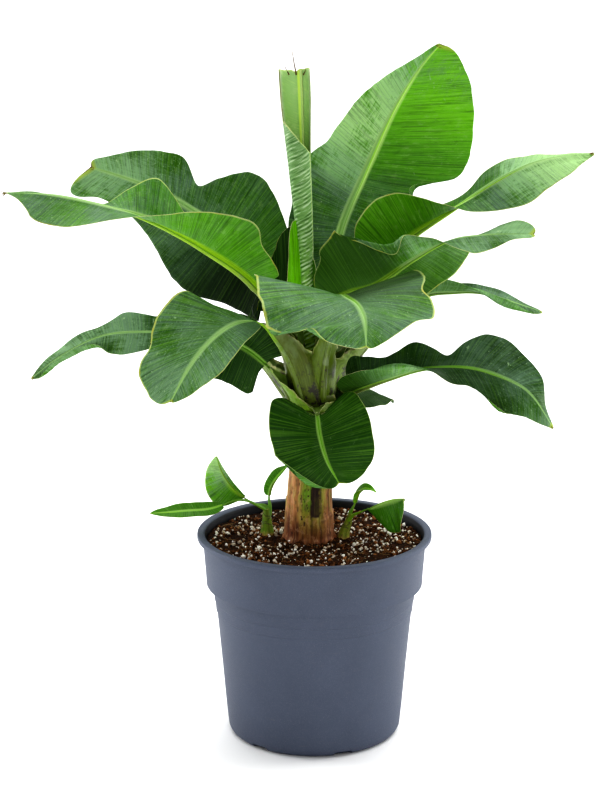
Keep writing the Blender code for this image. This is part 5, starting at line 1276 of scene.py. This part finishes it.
def roll_paint(name, inside):
    p = Paint(name)
    uv = p.uv()
    run, crease, mid, edge, side = (p.attr(k) for k in ('run', 'crease', 'mid', 'edge', 'side'))
    slant = p.noise(p.scaled(uv, (55.0, 430.0, 1.0)), 1.0, 3.0, 0.6)
    cross = p.noise(p.scaled(uv, (40.0, 190.0, 1.0)), 1.0, 2.0, 0.6)
    patch = p.noise(p.place(), 70.0, 4.0, 0.6)
    mix = p.calc('ADD', p.calc('MULTIPLY', slant, 0.6), p.calc('MULTIPLY', crease, 0.4))
    if inside:
        col = p.ramp(run, [(0.5, (0.16, 0.31, 0.05)), (0.80, (0.27, 0.47, 0.13)), (1.0, (0.33, 0.53, 0.20))])
        col = p.mix(p.span(patch, 0.52, 0.70, 0.0, 0.45), col, (0.44, 0.58, 0.26))
        col = p.mix(p.span(slant, 0.52, 0.66, 0.0, 0.25), col, (0.55, 0.72, 0.20))
        col = p.mix(p.calc('MULTIPLY', side, 0.75), col, (0.50, 0.60, 0.42))
        col = p.mix(p.span(mid, 0.30, 0.75), col, (0.50, 0.70, 0.12))
    else:
        col = p.ramp(run, [(0.06, (0.240, 0.400, 0.004)), (0.18, (0.240, 0.420, 0.012)), (0.30, (0.180, 0.370, 0.060)), (0.5, (0.175, 0.340, 0.095)), (0.85, (0.165, 0.300, 0.115)), (1.0, (0.30, 0.50, 0.16))])
        # the wrinkles pale on the crests and dark in the valleys: painted highlight and painted shade
        col = p.mix(p.span(mix, 0.51, 0.64, 0.0, 0.80), col, (0.50, 0.64, 0.40))
        col = p.mix(p.span(mix, 0.50, 0.36, 0.0, 0.85), col, (0.040, 0.120, 0.018))
        col = p.mix(p.span(cross, 0.45, 0.28, 0.0, 0.35), col, (0.055, 0.130, 0.022))
        col = p.mix(p.span(patch, 0.58, 0.74, 0.0, 0.35), col, (0.28, 0.40, 0.22))
    col = p.mix(p.calc('MULTIPLY', edge, 0.7), col, (0.55, 0.66, 0.22))
    h = p.bump(p.calc('ADD', slant, p.calc('MULTIPLY', cross, 0.5)), 0.0008, 0.8)
    return p.done(col, p.span(patch, 0.3, 0.8, 0.42, 0.60), h, 0.3)


def dry_paint(name, dark, light, scale=300.0):
    p = Paint(name)
    n = p.noise(p.place(), scale, 3.0, 0.6)
    col = p.ramp(n, [(0.3, dark), (0.7, light)])
    return p.done(col, 0.8, p.bump(n, 0.0004, 0.6), 0.2)


def lump_paint(name, stops, rough, spec):
    p = Paint(name)
    tone = p.attr('tone')
    n = p.noise(p.place(), 700.0, 3.0, 0.65)
    col = p.ramp(tone, stops)
    col = p.mix(p.span(n, 0.45, 0.7, 0.0, 0.5), col, tuple(min(1.0, 1.9 * c) for c in stops[-1][1]))
    col = p.mix(p.span(n, 0.5, 0.3, 0.0, 0.6), col, tuple(0.35 * c for c in stops[0][1]))
    return p.done(col, rough, p.bump(n, 0.0006, 0.8), spec)


def soil_paint():
    p = Paint('soil')
    w = p.place()
    n = p.noise(w, 160.0, 5.0, 0.7)
    g = p.cells(w, 520.0)
    col = p.ramp(n, [(0.30, (0.004, 0.0016, 0.0006)), (0.5, (0.026, 0.009, 0.0018)), (0.68, (0.100, 0.034, 0.008)), (0.8, (0.24, 0.105, 0.038))])
    col = p.mix(p.span(g, 0.30, 0.12, 0.0, 0.5), col, (0.050, 0.022, 0.008))
    h = p.bump(n, 0.003, 0.9)
    h = p.bump(g, 0.0012, 0.6, h)
    return p.done(col, 0.88, h, 0.15)


def pot_paint():
    p = Paint('pot')
    w = p.place()
    fine = p.noise(w, 1500.0, 2.0, 0.6)
    speck = p.cells(w, 900.0)
    broad = p.noise(w, 14.0, 4.0, 0.6)
    low = p.noise(p.scaled(w, (1.0, 1.0, 6.0)), 40.0, 3.0, 0.6)
    col = p.ramp(broad, [(0.3, (0.066, 0.081, 0.122)), (0.7, (0.084, 0.101, 0.147))])
    col = p.mix(p.span(fine, 0.55, 0.75, 0.0, 0.5), col, (0.20, 0.215, 0.245))
    col = p.mix(p.span(fine, 0.45, 0.25, 0.0, 0.5), col, (0.050, 0.056, 0.072))
    col = p.mix(p.span(speck, 0.16, 0.06, 0.0, 0.35), col, (0.27, 0.28, 0.30))
    col = p.mix(p.span(low, 0.60, 0.80, 0.0, 0.18), col, (0.16, 0.15, 0.15))
    # painted shade on the wall inside the mouth: darkened almost to black in the pot's own blue-grey
    xyz = p.node('ShaderNodeSeparateXYZ', {0: w})
    r2 = p.calc('ADD', p.calc('MULTIPLY', xyz.outputs[0], xyz.outputs[0]), p.calc('MULTIPLY', xyz.outputs[1], xyz.outputs[1]))
    mouth = p.calc('MULTIPLY', p.span(r2, 0.01600, 0.01585), p.span(xyz.outputs[2], 0.208, 0.212))
    col = p.mix(mouth, col, p.ramp(low, [(0.3, (0.008, 0.009, 0.012)), (0.7, (0.026, 0.028, 0.034))]))
    h = p.bump(fine, 0.00022, 0.8)
    return p.done(col, p.span(broad, 0.3, 0.7, 0.52, 0.62), h, 0.4)


UPPER, LOWER, MARGIN = leaf_paint('leaf_upper', False), leaf_paint('leaf_lower', True), margin_paint()
RIB_UP, RIB_LOW = rib_paint('rib_channel', False), rib_paint('rib_keel', True)
SHEATH_IN, SHEATH_OUT = sheath_paint('sheath_inner', False), sheath_paint('sheath_outer', True)
STEM = stem_paint()
ROLL_OUT, ROLL_IN = roll_paint('rolled_outer', False), roll_paint('rolled_inner', True)
DRY = dry_paint('dry_tip', (0.045, 0.020, 0.006), (0.20, 0.11, 0.035))
STRAW = dry_paint('straw', (0.10, 0.055, 0.020), (0.42, 0.28, 0.13))
SOIL = soil_paint()
CRUMB = lump_paint('soil_crumb', [(0.0, (0.008, 0.0030, 0.0008)), (0.6, (0.048, 0.016, 0.0035)), (1.0, (0.180, 0.072, 0.020))], 0.9, 0.15)
BARK = lump_paint('soil_bark', [(0.0, (0.012, 0.004, 0.001)), (0.6, (0.075, 0.026, 0.007)), (1.0, (0.300, 0.130, 0.045))], 0.85, 0.2)
GRIT = lump_paint('soil_grit', [(0.0, (0.42, 0.31, 0.20)), (0.5, (0.76, 0.69, 0.58)), (1.0, (0.95, 0.93, 0.88))], 0.8, 0.25)
POT = pot_paint()


# ---- putting it together ----------------------------------------------------------------
def ready(ob, slot, *nodes):
    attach(ob, 'root')
    if nodes:
        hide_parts(*nodes)
    return ob


for k, (name, leaf) in enumerate(LEAVES.items()):
    look = LOOKS[name]
    ready(leaf_blade(name, leaf, look, [UPPER, LOWER, MARGIN], 100 + 31 * k), 'blade', 'blade_' + name)
    ready(stalk_piece(name, leaf, look, [RIB_UP, RIB_LOW], 100 + 31 * k), 'stalk', 'stalk_' + name)
    if 'sheath' in look:
        ready(sheath_piece(name, leaf, look, [SHEATH_IN, SHEATH_OUT, MARGIN], 100 + 31 * k), 'stalk')

ready(false_stem([STEM]), 'stem', 'false_stem')
ready(rolled_leaf([ROLL_OUT, ROLL_IN, MARGIN]), 'rolled_leaf', 'rolled_leaf')
ready(base_flap('rolled_leaf_flap', [UPPER, LOWER, MARGIN], .262, .374, 21.5, .4, 212, .96, 41), 'rolled_leaf')
ready(base_flap('rolled_leaf_back', [UPPER, LOWER, MARGIN], .262, .366, 50, .5, 172, .16, 47), 'rolled_leaf')
ready(base_flap('rolled_leaf_wrap', [UPPER, LOWER, MARGIN], .238, .330, 10.5, .5, -26, .52, 43), 'rolled_leaf')
ready(crown_body([STEM]), 'stem', 'crown')
ready(shoot('sucker_left_stem', [(-55, 20, -3), (-55, 20, 6), (-55.6, 20, 18), (-56, 20, 30)], (8.5, 6.6, 5.6, 4.6), [STEM], 301, 1.0), 'stem', 'sucker_left_stem')
ready(shoot('sucker_right_stem', [(33, 5, -3), (34, 5, 5), (38, 5, 17), (42.3, 5, 29)], (7.5, 5.6, 4.8, 4.0), [STEM], 331, .7), 'stem', 'sucker_right_stem')
ready(tip_threads([DRY], 17), 'blade')
ready(pot_body([POT]), 'pot', 'pot')
ready(soil_body([SOIL]), 'soil', 'soil')
ready(lumps('soil_crumbs', [CRUMB], 2600, 1.15, 7, 1), 'soil')
ready(lumps('soil_grit', [GRIT], 1050, 1.25, 9, 1, bury=.1), 'soil')
ready(lumps('soil_bark', [BARK], 700, 1.7, 13, 1, bury=.35), 'soil')
ready(fibres([STRAW], 150, 11), 'soil')

# ---- view and light -----------------------------------------------------------------------
cam_data = bpy.data.cameras.new('camera')
cam_data.sensor_fit = 'AUTO'
cam_data.sensor_width = 36.0
cam_data.lens = 109.67
cam = bpy.data.objects.new('camera', cam_data)
bpy.context.scene.collection.objects.link(cam)
cam.location = (0.0, -2.68, 1.095)
cam.rotation_euler = (math.radians(90 - 14.62), 0.0, 0.0062)
bpy.context.scene.camera = cam

me = bpy.data.meshes.new('floor')
me.from_pydata([(-40, -40, 0), (40, -40, 0), (40, 40, 0), (-40, 40, 0)], [], [(0, 1, 2, 3)])
floor = bpy.data.objects.new('floor', me)
bpy.context.scene.collection.objects.link(floor)
fp = Paint('floor')
fn = fp.noise(fp.place(), 3.0, 2.0, 0.5)
me.materials.append(fp.done(fp.ramp(fn, [(0.3, (0.90, 0.90, 0.90)), (0.7, (0.93, 0.93, 0.93))]), 0.9, None, 0.1))

world = bpy.data.worlds.new('world')
world.use_nodes = True
world.node_tree.nodes['Background'].inputs[0].default_value = (1.0, 1.0, 1.0, 1.0)
world.node_tree.nodes['Background'].inputs[1].default_value = 0.27
bpy.context.scene.world = world


def area(name, at, to, size, power, tone=(1.0, 1.0, 1.0), tall=None):
    d = bpy.data.lights.new(name, 'AREA')
    d.energy = power
    d.color = tone
    d.size = size
    if tall:
        d.shape = 'RECTANGLE'
        d.size_y = tall
    ob = bpy.data.objects.new(name, d)
    bpy.context.scene.collection.objects.link(ob)
    ob.location = at
    ob.rotation_euler = (Vector(to) - Vector(at)).to_track_quat('-Z', 'Y').to_euler()
    return ob


sky = bpy.data.lights.new('sky', 'SUN')
sky.energy = 2.9
sky.angle = math.radians(75)
sky_ob = bpy.data.objects.new('sky', sky)
bpy.context.scene.collection.objects.link(sky_ob)
sky_ob.rotation_euler = (math.radians(-22), math.radians(6), 0)
area('left', (-1.9, 0.55, 0.9), (0, 0, 0.45), 0.9, 20, tall=1.6)
area('right', (1.9, 0.55, 0.9), (0, 0, 0.45), 0.9, 20, tall=1.6)
area('front', (0.3, -3.2, 1.9), (0, 0, 0.4), 1.8, 26)

bpy.context.scene.view_settings.view_transform = 'Standard'
bpy.context.scene.view_settings.look = 'High Contrast'
